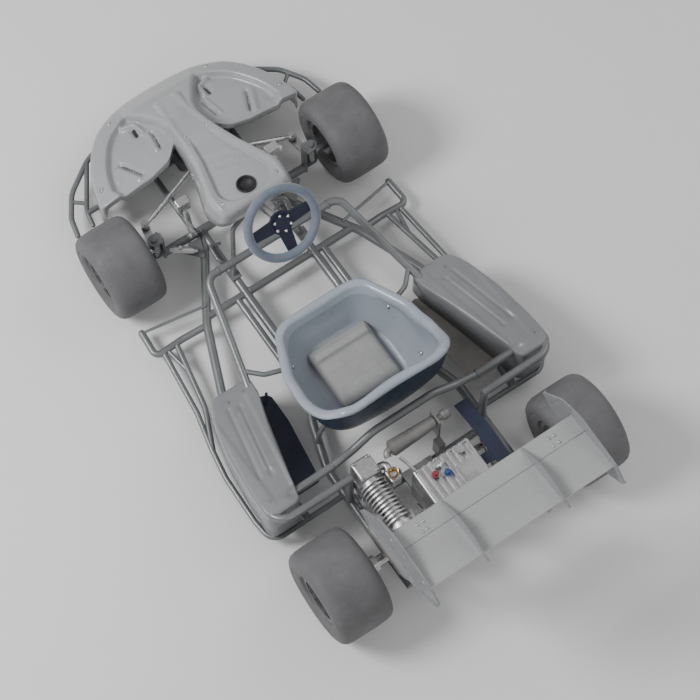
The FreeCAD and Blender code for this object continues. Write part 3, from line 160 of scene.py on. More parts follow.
# name, colour, roughness, metal, tone shift, its scale, grain scale, bump strength, bump depth (metres)
MAT = {
    "frame": surface("frame_paint", (0.18, 0.188, 0.194), 0.38, 0.35, 0.10, 14, 320, 0.18, 0.0002, coat=0.3,
                     spots=((0.12, 0.11, 0.10), 0.25, 60)),
    "body": surface("body_gelcoat", (0.36, 0.366, 0.376), 0.32, 0.0, 0.05, 6, 500, 0.10, 0.0002, coat=0.45,
                    spots=((0.27, 0.265, 0.26), 0.30, 38)),
    "pod": surface("pod_plastic", (0.205, 0.21, 0.222), 0.42, 0.0, 0.07, 7, 600, 0.20, 0.0002, coat=0.15,
                   spots=((0.17, 0.165, 0.16), 0.35, 45)),
    # The raised strip on the pod's outer edge is real; its lighter grey is painted highlight, a lit copy of
    # the pod's plastic.
    "pod_strip_painted_highlight": surface("pod_strip_painted_highlight", (0.30, 0.305, 0.315), 0.35, 0.0, 0.06, 9, 600, 0.15, 0.0002),
    "wing": surface("wing_sheet", (0.42, 0.425, 0.43), 0.30, 0.25, 0.05, 5, 220, 0.03, 0.0002,
                    stretch=(0.15, 1, 1), coat=0.2, spots=((0.34, 0.34, 0.34), 0.06, 30)),
    # End plates and fences: a darker copy of the wing's sheet, painted shade on their upright faces.
    "wing_side": surface("wing_plates_painted_shade", (0.265, 0.272, 0.285), 0.34, 0.2, 0.06, 6, 260, 0.04, 0.0002,
                         coat=0.15, spots=((0.20, 0.20, 0.20), 0.12, 34)),
    "steel": surface("machined_steel", (0.52, 0.52, 0.53), 0.30, 1.0, 0.10, 12, 300, 0.22, 0.0002,
                     stretch=(1, 0.12, 1), spots=((0.24, 0.20, 0.17), 0.25, 70)),
    "cast": surface("cast_alloy", (0.55, 0.55, 0.56), 0.42, 1.0, 0.14, 18, 420, 0.55, 0.0004,
                    spots=((0.22, 0.20, 0.18), 0.45, 40)),
    "bright": surface("polished_alloy", (0.78, 0.78, 0.78), 0.20, 1.0, 0.08, 20, 200, 0.15, 0.0002,
                      stretch=(1, 0.2, 1)),
    "tyre": surface("tyre_rubber", (0.125, 0.125, 0.13), 0.70, 0.0, 0.12, 16, 330, 0.5, 0.0005,
                    spots=((0.18, 0.177, 0.173), 0.5, 26), grain_kind="voronoi"),
    "rim": surface("wheel_alloy", (0.42, 0.42, 0.43), 0.33, 1.0, 0.10, 14, 300, 0.2, 0.0002,
                   spots=((0.18, 0.16, 0.14), 0.4, 45)),
    "seat": surface("seat_gelcoat", (0.34, 0.385, 0.44), 0.34, 0.0, 0.06, 8, 420, 0.12, 0.0002, coat=0.4,
                    spots=((0.20, 0.22, 0.25), 0.3, 34)),
    # Inside of the bucket: painted shade, a darker copy of the seat's paint for its hollow.
    "seat_in": surface("seat_inner_painted_shade", (0.262, 0.293, 0.335), 0.46, 0.0, 0.06, 8, 420, 0.12, 0.0002, coat=0.12,
                       spots=((0.15, 0.165, 0.19), 0.3, 34)),
    # Outside of the bucket: painted shade, dark where the shell faces away from the light.
    "seat_back": surface("seat_outside_painted_shade", (0.022, 0.036, 0.062), 0.45, 0.0, 0.15, 9, 300, 0.3, 0.0003),
    "pad": surface("pad_vinyl", (0.31, 0.31, 0.306), 0.62, 0.0, 0.08, 12, 520, 0.75, 0.0006, sheen=0.15,
                   spots=((0.27, 0.27, 0.265), 0.35, 30), grain_kind="voronoi"),
    "can": surface("heat_stained_can", (0.24, 0.235, 0.23), 0.45, 0.3, 0.2, 18, 260, 0.3, 0.0003,
                   spots=((0.26, 0.22, 0.19), 0.4, 30)),
    "grip": surface("wheel_suede", (0.14, 0.17, 0.22), 0.82, 0.0, 0.15, 22, 900, 0.7, 0.0006, sheen=0.5),
    "navy": surface("navy_anodised", (0.022, 0.028, 0.055), 0.45, 0.2, 0.2, 14, 350, 0.25, 0.0002),
    # One tray material in two copies: the left tray painted dark navy as shade, the right one painted pale
    # grey as lit.
    "tray": surface("tray_painted_shade", (0.03, 0.036, 0.07), 0.5, 0.0, 0.2, 11, 350, 0.3, 0.0003),
    "tray_painted_lit": surface("tray_painted_lit", (0.33, 0.31, 0.295), 0.55, 0.0, 0.2, 12, 350, 0.35, 0.0003),
    "chain": surface("chain_links", (0.20, 0.18, 0.16), 0.35, 1.0, 0.25, 90, 700, 0.5, 0.0003),
    "tank": surface("tank_plastic", (0.06, 0.06, 0.065), 0.5, 0.0, 0.06, 8, 350, 0.2, 0.0003),
    "brass": surface("brass", (0.50, 0.37, 0.20), 0.28, 1.0, 0.12, 40, 400, 0.2, 0.0002),
    "red": surface("red_anodised", (0.40, 0.07, 0.08), 0.3, 0.6, 0.15, 40, 400, 0.15, 0.0002),
    "blue": surface("blue_anodised", (0.05, 0.10, 0.34), 0.3, 0.6, 0.15, 40, 400, 0.15, 0.0002),
    # Black here is painted shade: the strips in the nose's slots and grooves and the cup in the spine's hole.
    "black": surface("painted_shade_black", (0.018, 0.018, 0.02), 0.6, 0.0, 0.2, 30, 400, 0.3, 0.0003),
    "white": surface("white_plastic", (0.75, 0.75, 0.73), 0.35, 0.0, 0.05, 30, 400, 0.1, 0.0002),
    "weld": surface("weld_bead", (0.20, 0.205, 0.21), 0.5, 0.5, 0.2, 60, 500, 0.6, 0.0004),
}


def paint(material, names):
    """Gives CAD nodes a material."""
    for name in names:
        for entry in NODES[name].material_slots:
            entry.link = "OBJECT"
            entry.material = MAT[material]


# ------------------------------------------------------------------ mesh helpers
def add(name, verts, faces, material, body, slot, smooth=True, replaces=(), solid=0.0, extra=()):
    """New visible piece that rides on a body; solid is a wall in metres, extra its further materials."""
    mesh = bpy.data.meshes.new(name)
    mesh.from_pydata([tuple(v) for v in verts], [], faces)
    mesh.validate()
    bm = bmesh.new()
    bm.from_mesh(mesh)
    bmesh.ops.remove_doubles(bm, verts=bm.verts, dist=WELD_TOGETHER)
    bmesh.ops.recalc_face_normals(bm, faces=bm.faces)
    bm.to_mesh(mesh)
    bm.free()
    item = bpy.data.objects.new(name, mesh)
    bpy.context.scene.collection.objects.link(item)
    for key in (material, *extra):
        mesh.materials.append(MAT[key])
    for polygon in mesh.polygons:
        polygon.use_smooth = smooth
    if solid:
        modifier = item.modifiers.new("skin", "SOLIDIFY")
        modifier.thickness = solid
        modifier.offset = -1
    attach(item, body)
    if replaces:
        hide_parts(*replaces)
    return item


def revolve(profile, centre, axis, segments):
    """Surface of revolution: profile points are (distance along axis, radius), centre is in metres."""
    axis = V(axis).normalized()
    side = axis.orthogonal().normalized()
    up = axis.cross(side)
    verts, faces = [], []
    for k in range(segments):
        angle = 2 * pi * k / segments
        ray = side * cos(angle) + up * sin(angle)
        verts += [V(centre) + axis * (a * MM) + ray * (r * MM) for a, r in profile]
    n = len(profile)
    for k in range(segments):
        nxt = (k + 1) % segments
        for j in range(n - 1):
            faces.append((k * n + j, k * n + j + 1, nxt * n + j + 1, nxt * n + j))
    return verts, faces


def merge(parts):
    """One mesh out of several (verts, faces) pairs."""
    verts, faces = [], []
    for v, f in parts:
        base = len(verts)
        verts += v
        faces += [tuple(i + base for i in face) for face in f]
    return verts, faces


CORNER_STEPS = 8
CORNER_SHARE = 0.48     # most of an edge that one corner's rounding may take
ROUND_OFF, SHORTEST = 1e-12, 1e-9


def rounded(points, radii, count):
    """Closed outline with rounded corners, resampled to evenly spaced points."""
    line = []
    total = len(points)
    for i in range(total):
        p, a, b = V(points[i]), V(points[i - 1]), V(points[(i + 1) % total])
        to_a, to_b = (a - p).normalized(), (b - p).normalized()
        half = acos(max(-1, min(1, to_a.dot(to_b)))) / 2
        reach = min(radii[i] / tan(half), CORNER_SHARE * (a - p).length, CORNER_SHARE * (b - p).length)
        for k in range(CORNER_STEPS + 1):
            t = k / CORNER_STEPS
            line.append((p + to_a * reach * (1 - t)).lerp(p + to_b * reach * t, t))
    lengths = [(line[(i + 1) % len(line)] - line[i]).length for i in range(len(line))]
    whole = sum(lengths)
    out, i, used = [], 0, 0.0
    for k in range(count):
        want = whole * k / count
        while used + lengths[i] < want - ROUND_OFF:
            used += lengths[i]
            i += 1
        out.append(line[i].lerp(line[(i + 1) % len(line)], (want - used) / max(lengths[i], SHORTEST)))
    return out


SHOULDER_STEPS = 5
ROOF_CLOSES = 0.985     # how far the roof's rings run in towards the middle


def dome(outline, low, top, rings, radius, shift=None):
    """Shell over a closed plan outline: walls from low to top, a rounded shoulder and a roof."""
    count = len(outline)
    cx = sum(p.x for p in outline) / count
    cy = sum(p.y for p in outline) / count
    verts, faces = [], []
    levels = [(0.0, "low"), (0.0, "mid"), (0.0, "high")]
    levels += [(k / SHOULDER_STEPS, "arc") for k in range(1, SHOULDER_STEPS + 1)]
    levels += [(k / rings, "roof") for k in range(1, rings + 1)]
    for value, kind in levels:
        for p in outline:
            away = sqrt((p.x - cx) ** 2 + (p.y - cy) ** 2)
            if kind == "roof":
                keep = (1 - radius / away) * (1 - value * ROOF_CLOSES)
            elif kind == "arc":
                keep = 1 - radius * (1 - cos(value * pi / 2)) / away
            else:
                keep = 1.0
            x, y = cx + (p.x - cx) * keep, cy + (p.y - cy) * keep
            high, base = top(x, y), low(x, y)
            if kind == "roof":
                z = high
            elif kind == "low":
                z = base
            elif kind == "mid":
                z = base + (high - radius - base) * 0.5
            else:
                z = high - radius * (1 - sin(value * pi / 2))
            if shift:
                x, y, z = shift(x, y, z)
            verts.append(V((x, y, z)) * MM)
    for level in range(len(levels) - 1):
        for k in range(count):
            nxt = (k + 1) % count
            faces.append((level * count + k, level * count + nxt, (level + 1) * count + nxt,
                          (level + 1) * count + k))
    faces.append(tuple((len(levels) - 1) * count + k for k in range(count)))
    return verts, faces


def bump_at(x, y, cx, cy, rx, ry):
    """1 inside an ellipse, falling smoothly to 0 outside it."""
    d = ((x - cx) / rx) ** 2 + ((y - cy) / ry) ** 2
    return 1 / (1 + d ** 3)


def table(value, stations):
    """Piecewise linear look-up in (position, value) pairs."""
    if value <= stations[0][0]:
        return stations[0][1]
    for (a, va), (b, vb) in zip(stations, stations[1:]):
        if value <= b:
            return va + (vb - va) * (value - a) / (b - a)
    return stations[-1][1]


SCREW_SEGMENTS = 18


def capscrew(spot, way, radius, height):
    """Socket cap screw with a washer and a hollow in its head, on a spot and along a way."""
    r, h = radius, height
    profile = [(0, 0), (0, r * 1.32), (r * 0.18, r * 1.38), (r * 0.3, r * 1.32), (r * 0.3, r * 1.02),
               (h * 0.85, r * 1.02), (h, r * 0.9), (h, r * 0.55), (h * 0.6, r * 0.5), (h * 0.6, 0)]
    return revolve(profile, V(spot) * MM, way, SCREW_SEGMENTS)


def screws(name, spots, body, material, slot, radius, height):
    """One piece of several equal screws; spots are (place, direction)."""
    verts, faces = merge([capscrew(spot, way, radius, height) for spot, way in spots])
    add(name, verts, faces, material, body, slot)


def both(spots):
    """The same spots on both sides of the kart."""
    return spots + [((-p[0], p[1], p[2]), (-w[0], w[1], w[2])) for p, w in spots]


BEAD_AROUND, BEAD_ACROSS = 56, 8
BEAD_FAT, BEAD_RIPPLE, BEAD_LIFT = 2.1, 0.45, 0.2


def weld(spot, way, radius):
    """Rippled bead round a tube of the given radius."""
    way = V(way).normalized()
    side = way.orthogonal().normalized()
    up = way.cross(side)
    verts, faces = [], []
    for k in range(BEAD_AROUND):
        angle = 2 * pi * k / BEAD_AROUND
        ray = side * cos(angle) + up * sin(angle)
        fat = BEAD_FAT + BEAD_RIPPLE * (k % 2)
        nxt = (k + 1) % BEAD_AROUND
        for j in range(BEAD_ACROSS):
            turn = 2 * pi * j / BEAD_ACROSS
            out = radius + BEAD_LIFT + fat * cos(turn)
            verts.append((V(spot) + ray * out + way * fat * sin(turn)) * MM)
            j2 = (j + 1) % BEAD_ACROSS
            faces.append((k * BEAD_ACROSS + j, k * BEAD_ACROSS + j2, nxt * BEAD_ACROSS + j2,
                          nxt * BEAD_ACROSS + j))
    return verts, faces


# ------------------------------------------------------------------ tyres
def tyre_profile(r, w, bead):
    """Slick carcass in section, as (along axle, radius): tread, shoulder, wall, bead; w is half the width."""
    half = [(0, r), (w * 0.4, r - 0.2), (w * 0.66, r - 1.0), (w - 14, r - 4.5), (w - 6, r - 11),
            (w - 1.2, r - 21), (w - 0.3, r - 30), (w - 0.6, r - 36), (w - 1.8, r - 37), (w - 1.9, r - 38.5),
            (w - 1.0, r - 40), (w - 2.4, r - 48), (w - 6.5, bead + 15), (w - 7.2, bead + 12.5),
            (w - 9.0, bead + 12.0), (w - 14, bead + 9.5), (w - 20, bead + 6), (w - 22, bead + 0.2)]
    return [(-a, q) for a, q in reversed(half[1:])] + half


BEAD_R = 64.2
REAR_TYRE_HALF = 82.5
TYRE_SEGMENTS = 112


def tyres():
    for body, cad in (("front_wheel_l", "front_tyre_left"), ("front_wheel_r", "front_tyre_right")):
        low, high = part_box(cad)
        centre = (V(low) + V(high)) / 2
        r = (high[2] - low[2]) / 2 / MM
        w = (high[0] - low[0]) / 2 / MM
        slick = revolve(tyre_profile(r, w, BEAD_R), centre, (1, 0, 0), TYRE_SEGMENTS)
        add(cad + "_slick", *slick, "tyre", body, "tyre", replaces=(cad,))
    low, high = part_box("rear_tyres")
    r = (high[2] - low[2]) / 2
    parts = []
    for side in (1, -1):
        centre = V((side * (high[0] - REAR_TYRE_HALF * MM), (low[1] + high[1]) / 2, r))
        parts.append(revolve(tyre_profile(r / MM, REAR_TYRE_HALF, BEAD_R), centre, (1, 0, 0), TYRE_SEGMENTS))
    add("rear_tyres_slick", *merge(parts), "tyre", "axle", "tyre", replaces=("rear_tyres",))


# ------------------------------------------------------------------ bodywork
# Plan of the nose: its front arch, then its rear edge round the spine, with the bend radius at each corner
ARCH = [(-328, -622), (-298, -730), (-231, -836), (-110, -900), (110, -900), (231, -836), (298, -730),
        (328, -622)]
NOSE = ARCH + [(240, -617), (160, -615), (100, -627), (64, -664), (-64, -664), (-100, -627), (-160, -615),
               (-240, -617)]
NOSE_R = [14, 300, 260, 260, 260, 260, 300, 14, 200, 60, 40, 20, 20, 40, 60, 200]
NOSE_POINTS, NOSE_RINGS, NOSE_SHOULDER = 280, 62, 11
NOSE_HEM, NOSE_FLOOR = 26, 76
# Height of the roof along the kart, its share across it, and where each pocket starts beside the spine
NOSE_BACK = [(-900, 104), (-880, 124), (-840, 152), (-790, 174), (-720, 200), (-660, 220), (-600, 238)]
NOSE_ACROSS = [(0, 1.03), (60, 1.01), (130, 0.97), (200, 0.91), (260, 0.83), (340, 0.70)]
NOSE_RIDGE = [(-850, 118), (-800, 84), (-750, 56), (-710, 48), (-600, 52)]
RIDGE_FADE = [(-885, 0), (-812, 1), (-600, 1)]
POCKET_DEPTH, RIDGE_HEIGHT, HOOK_HEIGHT = 25, 12, 13
# Straight marks in a pocket (left half): a bent hook, then grooves (-) and ribs (+) as
# (height, start, end, half width)
HOOK = [((140, -816), (108, -804), 8), ((108, -804), (104, -766), 8)]
NOSE_SLOT = (208, -712), (178, -644)
NOSE_MARKS = [(-8, (122, -790), (122, -766), 7), (-8, (84, -748), (92, -684), 5),
              (7, (96, -748), (104, -684), 6), (-10, *NOSE_SLOT, 6), (7, (222, -706), (192, -636), 7),
              (-4, (246, -664), (250, -654), 7)]
# Dark strips of painted shade in a pocket, standing for the shadow in the slot, under the hook and along a
# groove: name, start, end, half width
NOSE_SHADE_STRIPS = [("nose_slot_", *NOSE_SLOT, 3.2), ("nose_scoop_shade_", (119, -794), (121, -762), 4.5),
               ("nose_line_shade_", (84, -744), (91, -688), 2.2)]
SHADE_STRIP_STEPS, SHADE_STRIP_LIFT = 24, 0.7
ARCH_LINE = [p for p in rounded([(x, y, 0) for x, y in NOSE], NOSE_R, 150) if p.y < -690 or abs(p.x) > 300]


def step(value, start, width):
    """0 below start, 1 above start + width, smooth between."""
    t = max(0.0, min(1.0, (value - start) / width))
    return t * t * (3 - 2 * t)


def edge_gap(x, y):
    """How far a spot is from the nose's outer edge."""
    return sqrt(min((x - p.x) ** 2 + (y - p.y) ** 2 for p in ARCH_LINE))


def along(x, y, start, end, width):
    """1 on the line from start to end, falling smoothly to 0 beyond width."""
    way = V((end[0] - start[0], end[1] - start[1]))
    here = V((x - start[0], y - start[1]))
    t = max(0.0, min(1.0, here.dot(way) / way.length_squared))
    gap = (here - way * t).length / width
    return exp(-gap * gap)


def nose_top(x, y):
    """Crowned roof with a raised spine, a raised front band and a sunk pocket on each side."""
    a = abs(x)
    ridge = table(y, NOSE_RIDGE)
    pocket = step(a, ridge, 11) * step(edge_gap(a, y), 42, 16)
    z = table(y, NOSE_BACK) * table(a, NOSE_ACROSS) + 2 - POCKET_DEPTH * pocket
    z += RIDGE_HEIGHT * step(ridge + 6 - a, 0, 16) * table(y, RIDGE_FADE)
    z += HOOK_HEIGHT * max(along(a, y, *leg) for leg in HOOK)
    for height, start, end, width in NOSE_MARKS:
        z += height * along(a, y, start, end, width)
    return z


def shade_strip(name, start, end, width, side):
    """Dark strip of painted shade lying in a groove of the nose, standing for the groove's shadow."""
    way = V((end[0] - start[0], end[1] - start[1], 0))
    across = V((-way.y, way.x, 0)).normalized()
    shares = (-1, -0.5, 0, 0.5, 1)
    rows, n = [], len(shares)
    for i in range(SHADE_STRIP_STEPS + 1):
        t = i / SHADE_STRIP_STEPS
        half = width * sqrt(max(0.02, 1 - abs(2 * t - 1) ** 6))
        spot = V((start[0], start[1], 0)) + way * t
        for share in shares:
            p = spot + across * (half * share)
            rows.append(V((side * p.x, p.y, nose_top(p.x, p.y) + SHADE_STRIP_LIFT)) * MM)
    faces = [(i * n + j, i * n + j + 1, (i + 1) * n + j + 1, (i + 1) * n + j)
             for i in range(SHADE_STRIP_STEPS) for j in range(n - 1)]
    add(name, rows, faces, "black", "frame", "bodywork", solid=SHADE_STRIP_SKIN)


def nose():
    outline = rounded([(x, y, 0) for x, y in NOSE], NOSE_R, NOSE_POINTS)

    def low(x, y):
        """Lower edge: a hem below the roof, and down to the nose's floor round the front and the sides."""
        top = nose_top(x, y)
        wall = max(step(abs(x), 304, 14), step(abs(x), 200, 20) * step(-y, 640, 20), step(-y, 700, 20))
        return top - NOSE_HEM + (NOSE_FLOOR - top + NOSE_HEM) * wall

    verts, faces = dome(outline, low, nose_top, NOSE_RINGS, NOSE_SHOULDER)
    add("nose_skin", verts, faces, "body", "frame", "bodywork", replaces=("nose_fairing",), solid=BODY_SKIN)
    for side, name in SIDES:
        for part, start, end, width in NOSE_SHADE_STRIPS:
            shade_strip(part + name, start, end, width, side)


# Spine (steering fairing) as (y, half width, height of its top), its plan outline on the left with the
# bend radii, its floor, and its hole
SPINE = [(-812, 44, 196), (-740, 48, 210), (-660, 57, 248), (-600, 66, 284), (-525, 80, 324), (-450, 99, 357),
         (-400, 112, 374), (-350, 113, 379), (-326, 113, 379)]
TONGUE = [(44, -812), (47, -740), (54, -660), (62, -600), (76, -525), (97, -450), (117, -386), (104, -322)]
TONGUE_R = [10, 60, 80, 120, 120, 120, 70, 66]
SPINE_FLOOR = [(-812, 150), (-740, 150), (-660, 180), (-600, 215), (-525, 250), (-450, 282), (-395, 298),
               (-352, 306), (-324, 318)]
SPINE_POINTS, SPINE_RINGS, SPINE_SHOULDER, SPINE_SPREAD = 220, 66, 20, 0.12
PANEL_DEPTH, PANEL_RIM, PANEL_RIB = 14, 5, 2.4
HOLE_Y, HOLE_R, HOLE_DEPTH, HOLE_LIFT = -381, 24, 9, 2.6
HOLE_CUP = [(0, 0), (0, 20.5), (7, 21.5), (10.5, 23), (11.5, 25), (10, 27), (7, 27)]
HOLE_WAY = (0, -0.14, 1)


def spine_top(x, y):
    """Crowned top with a sunk panel inside a raised rim, a round hole and three faint ribs."""
    z = table(y, [(s[0], s[2]) for s in SPINE])
    half = table(y, [(s[0], s[1]) for s in SPINE])
    a = abs(x)
    z -= 6 * (a / half) ** 2
    inner = step(half - 26 - a, 0, 9) * step(y, -640, 60)
    corner = sqrt(max(0.0, a - 30) ** 2 + max(0.0, y + 400) ** 2)
    panel = inner * step(56 - corner, 0, 9)
    z -= PANEL_DEPTH * panel
    z += PANEL_RIM * exp(-((a - half + 14) / 9) ** 2)
    z -= HOLE_DEPTH * step(HOLE_R - sqrt(x * x + (y - HOLE_Y) ** 2), 0, 3)
    for k in range(3):
        z += PANEL_RIB * panel * along(x, y, (-30 + 6 * k, -520 + 34 * k), (30 + 6 * k, -534 + 34 * k), 6)
    return z


def spine():
    points = [(x, y, 0) for x, y in TONGUE] + [(-x, y, 0) for x, y in reversed(TONGUE)]
    outline = rounded(points, TONGUE_R + TONGUE_R[::-1], SPINE_POINTS)

    def skirt(x, y, z):
        """The walls spread outwards towards the floor."""
        high, base = spine_top(x, y), table(y, SPINE_FLOOR)
        spread = 1 + SPINE_SPREAD * max(0.0, min(1.0, (high - z) / (high - base))) ** 1.5
        return x * spread, y, z

    verts, faces = dome(outline, lambda x, y: table(y, SPINE_FLOOR) + 1, spine_top, SPINE_RINGS,
                        SPINE_SHOULDER, skirt)
    add("spine_skin", verts, faces, "body", "frame", "bodywork", replaces=("steering_fairing",),
        solid=BODY_SKIN)
    # A black cup in the hole: painted shade for the hole's dark inside.
    hole = revolve(HOLE_CUP, V((0, HOLE_Y, spine_top(0, HOLE_Y) + HOLE_LIFT)) * MM, HOLE_WAY, 48)
    add("spine_hole_shade", *hole, "black", "frame", "bodywork")


# Plan of the left pod with its bend radii, its top along the kart, its floor, and the section of the
# raised strip along its outer edge as (out of the wall, down from the top)
POD = [(262, 16), (384, 12), (410, 70), (436, 180), (448, 300), (450, 404), (352, 404), (336, 330),
       (291, 150), (267, 70)]
POD_R = [20, 46, 120, 200, 120, 26, 24, 60, 100, 60]
POD_BACK = [(0, 171), (60, 187), (150, 205), (250, 224), (360, 245), (412, 248)]
POD_FLOOR, POD_POINTS, POD_RINGS, POD_SHOULDER = 81, 220, 46, 12
POD_GROOVES = [((330, 78), (372, 296)), ((362, 70), (404, 288))]
STRIP = [(-0.6, 9), (1.6, 10), (2.6, 12.5), (2.6, 16), (1.6, 18.5), (-0.4, 19.5)]
STRIP_X, STRIP_FROM, STRIP_TO = 396, 30, 398


def pod_top(x, y):
    """Roof that falls outwards, with a shallow panel, two grooves, a rib between them and a dimple behind."""
    z = table(y, POD_BACK)
    z -= 9 * max(0.0, (x - 352) / 90) ** 2
    z -= 3 * step(416 - x, 0, 14) * step(x, 286 + 0.16 * y, 14) * step(y, 44, 18) * step(372 - y, 0, 18)
    for start, end in POD_GROOVES:
        z -= 3.4 * along(x, y, start, end, 6)
    z += 2.2 * bump_at(x, y, 352 + 0.19 * (y - 180), y, 9, 90) * step(y, 84, 14) * step(286 - y, 0, 14)
    z -= 9 * bump_at(x, y, 352, 372, 20, 13)
    return z


def pods():
    outline = rounded([(x, y, 0) for x, y in POD], POD_R, POD_POINTS)
    verts, faces = dome(outline, lambda x, y: POD_FLOOR, pod_top, POD_RINGS, POD_SHOULDER)
    band = []
    for k, p in enumerate(outline):
        nxt = outline[(k + 1) % len(outline)]
        if p.x < STRIP_X or not STRIP_FROM <= p.y <= STRIP_TO:
            continue
        normal = V((nxt.y - p.y, p.x - nxt.x, 0)).normalized()
        if normal.x < 0:
            normal = -normal
        z = pod_top(p.x, p.y)
        band.append([p + normal * out + V((0, 0, z - drop)) for out, drop in STRIP])
    band.sort(key=lambda row: row[0].y)
    n = len(STRIP)
    quads = [(i * n + j, i * n + j + 1, (i + 1) * n + j + 1, (i + 1) * n + j)
             for i in range(len(band) - 1) for j in range(n - 1)]
    for side, name in SIDES:
        points = [V((side * v.x, v.y, v.z)) for v in verts]
        add("side_pod_%s_skin" % name, points, faces, "pod", "frame", "pod",
            replaces=("side_pod_" + name,), solid=BODY_SKIN)
        strip = [V((side * q.x, q.y, q.z)) * MM for row in band for q in row]
        # The strip gets the lighter painted highlight.
        add("pod_strip_painted_highlight_" + name, strip, quads, "pod_strip_painted_highlight", "frame", "pod")


# ------------------------------------------------------------------ seat
# Seat outside as (height, half width, front, back, bend radius); the rim's height along the kart; how far
# the rear wall bulges at each height
SEAT = [(112, 114, 30, 246, 58), (150, 148, 0, 270, 66), (200, 182, -48, 296, 76),
        (255, 200, -54, 310, 84), (330, 202, -30, 322, 84), (410, 190, 40, 330, 80)]
RIM_LINE = [(-60, 205), (0, 214), (40, 224), (100, 237), (150, 250), (190, 268), (225, 288), (260, 322),
            (288, 354), (306, 380), (318, 394), (420, 399)]
SEAT_BULGE = [(114, 0), (150, 8), (200, 17), (255, 16), (330, 6), (400, 0)]
SEAT_COUNT = 160        # columns round the seat
SEAT_WALL, SEAT_MID_Y, RING_STEP = 8, 150, 4
FLOOR_OUT, FLOOR_IN, FLOOR_Y = 112, 124, 140
RIM_SHIFT, RIM_LEAN = 13, 11    # how far the rim and the wall below it stand forward at the back
SEAT_FLOOR_OUT = [0.0, 0.3, 0.6, 0.85, 0.97]
WALL_OUT_STEPS, WALL_IN_STEPS = 20, 24
WALL_OUT_LOW, WALL_IN_LOW = 114, 126        # where the walls start above the floor
WALL_OUT_DROP, WALL_IN_DROP = 20, 16        # where they end below the rim
# Rolled rim in section, outside to inside: (out, up)
SEAT_RIM = [(2, -17), (7, -16), (11, -12), (12.5, -6), (11, -0.5), (6.5, 3.5), (0, 4.4), (-7, 3),
            (-12.5, -1), (-15.5, -7)]
# Floor inside, wall to middle: (share of the outline, height)
SEAT_FLOOR_IN = [(0.985, 124.4), (0.955, 122.6), (0.91, 121.4), (0.82, 120.6), (0.4, 120.2), (0.0, 120.2)]
DARK_ROWS = 25          # rows of faces that are the outside, painted dark as shade
RIM_ROWS = 12           # rows after them that are the rim


def seat_ring(z, inset):
    """The seat's outline at a height, set in from the outside."""
    half, front, back, radius = [table(z, [(s[0], s[k]) for s in SEAT]) for k in (1, 2, 3, 4)]
    half, front, back = half - inset, front + inset, back - inset
    mid = front + 0.42 * (back - front)
    points = [(-half * 0.72, front, z), (half * 0.72, front, z), (half, mid, z), (half, back, z),
              (-half, back, z), (-half, mid, z)]
    bends = [radius * 0.9, radius * 0.9, 110, radius * 1.25, radius * 1.25, 110]
    return rounded(points, bends, SEAT_COUNT)


class SeatRings:
    """Seat outlines at even steps of height, looked up between levels."""

    def __init__(self):
        self.rings = {}

    def at(self, z, k, inset):
        low = int(z // RING_STEP) * RING_STEP
        for level in (low, low + RING_STEP):
            if (level, inset) not in self.rings:
                self.rings[level, inset] = seat_ring(level, inset)
        a, b = self.rings[low, inset][k], self.rings[low + RING_STEP, inset][k]
        return a.lerp(b, (z - low) / RING_STEP)


def seat():
    """Moulded bucket: outside painted dark as shade, inside painted a milder shade than the rim, and a wide
    rolled rim.
    """
    rings = SeatRings()
    columns = []
    for k in range(SEAT_COUNT):
        top = 240.0
        for _ in range(14):     # settles on the height where this column meets the rim line
            top = table(rings.at(top, k, 0).y, RIM_LINE)
        base_out, base_in = rings.at(FLOOR_OUT, k, 0), rings.at(FLOOR_IN, k, SEAT_WALL)
        edge = rings.at(top - 10, k, 0)
        out = V((edge.x, edge.y - SEAT_MID_Y, 0)).normalized()
        rear = max(0.0, out.y) ** 2
        rows = [V((base_out.x * keep, FLOOR_Y + (base_out.y - FLOOR_Y) * keep, FLOOR_OUT))
                for keep in SEAT_FLOOR_OUT]
        for i in range(WALL_OUT_STEPS + 1):
            z = WALL_OUT_LOW + (top - WALL_OUT_DROP - WALL_OUT_LOW) * i / WALL_OUT_STEPS
            p = rings.at(z, k, 0)
            lean = max(0.0, min(1.0, (z - top + 110) / 90))
            rows.append(V((p.x, p.y, z)) + out * (rear * (table(z, SEAT_BULGE) - RIM_LEAN * lean)))
        for reach, lift in SEAT_RIM:
            rows.append(V((edge.x, edge.y, top)) + out * (reach - RIM_SHIFT * rear) + V((0, 0, lift)))
        for i in range(WALL_IN_STEPS + 1):
            t = i / WALL_IN_STEPS
            z = top - WALL_IN_DROP + (WALL_IN_LOW - top + WALL_IN_DROP) * t
            p = rings.at(z, k, SEAT_WALL)
            roll = max(0.0, 1 - t / 0.6) ** 2
            rows.append(V((p.x, p.y, z)) - out * (8 * roll + RIM_SHIFT * rear * max(0.0, 1 - t / 0.8)))
        for keep, z in SEAT_FLOOR_IN:
            rows.append(V((base_in.x * keep, FLOOR_Y + (base_in.y - FLOOR_Y) * keep, z)))
        columns.append(rows)
    count = len(columns[0])
    verts = [p * MM for rows in columns for p in rows]
    faces = []
    for k in range(SEAT_COUNT):
        nxt = (k + 1) % SEAT_COUNT
        for i in range(count - 1):
            faces.append((k * count + i, k * count + i + 1, nxt * count + i + 1, nxt * count + i))
    item = add("seat_bucket", verts, faces, "seat", "frame", "seat", replaces=("seat_shell",),
               extra=("seat_back", "seat_in"))
    for polygon in item.data.polygons:
        row = polygon.index % (count - 1)
        # The outside rows get the dark painted shade, the rim rows keep the seat's paint and the inside rows
        # get the milder painted shade.
        if row < DARK_ROWS:
            polygon.material_index = 1
        elif row >= DARK_ROWS + RIM_ROWS:
            polygon.material_index = 2


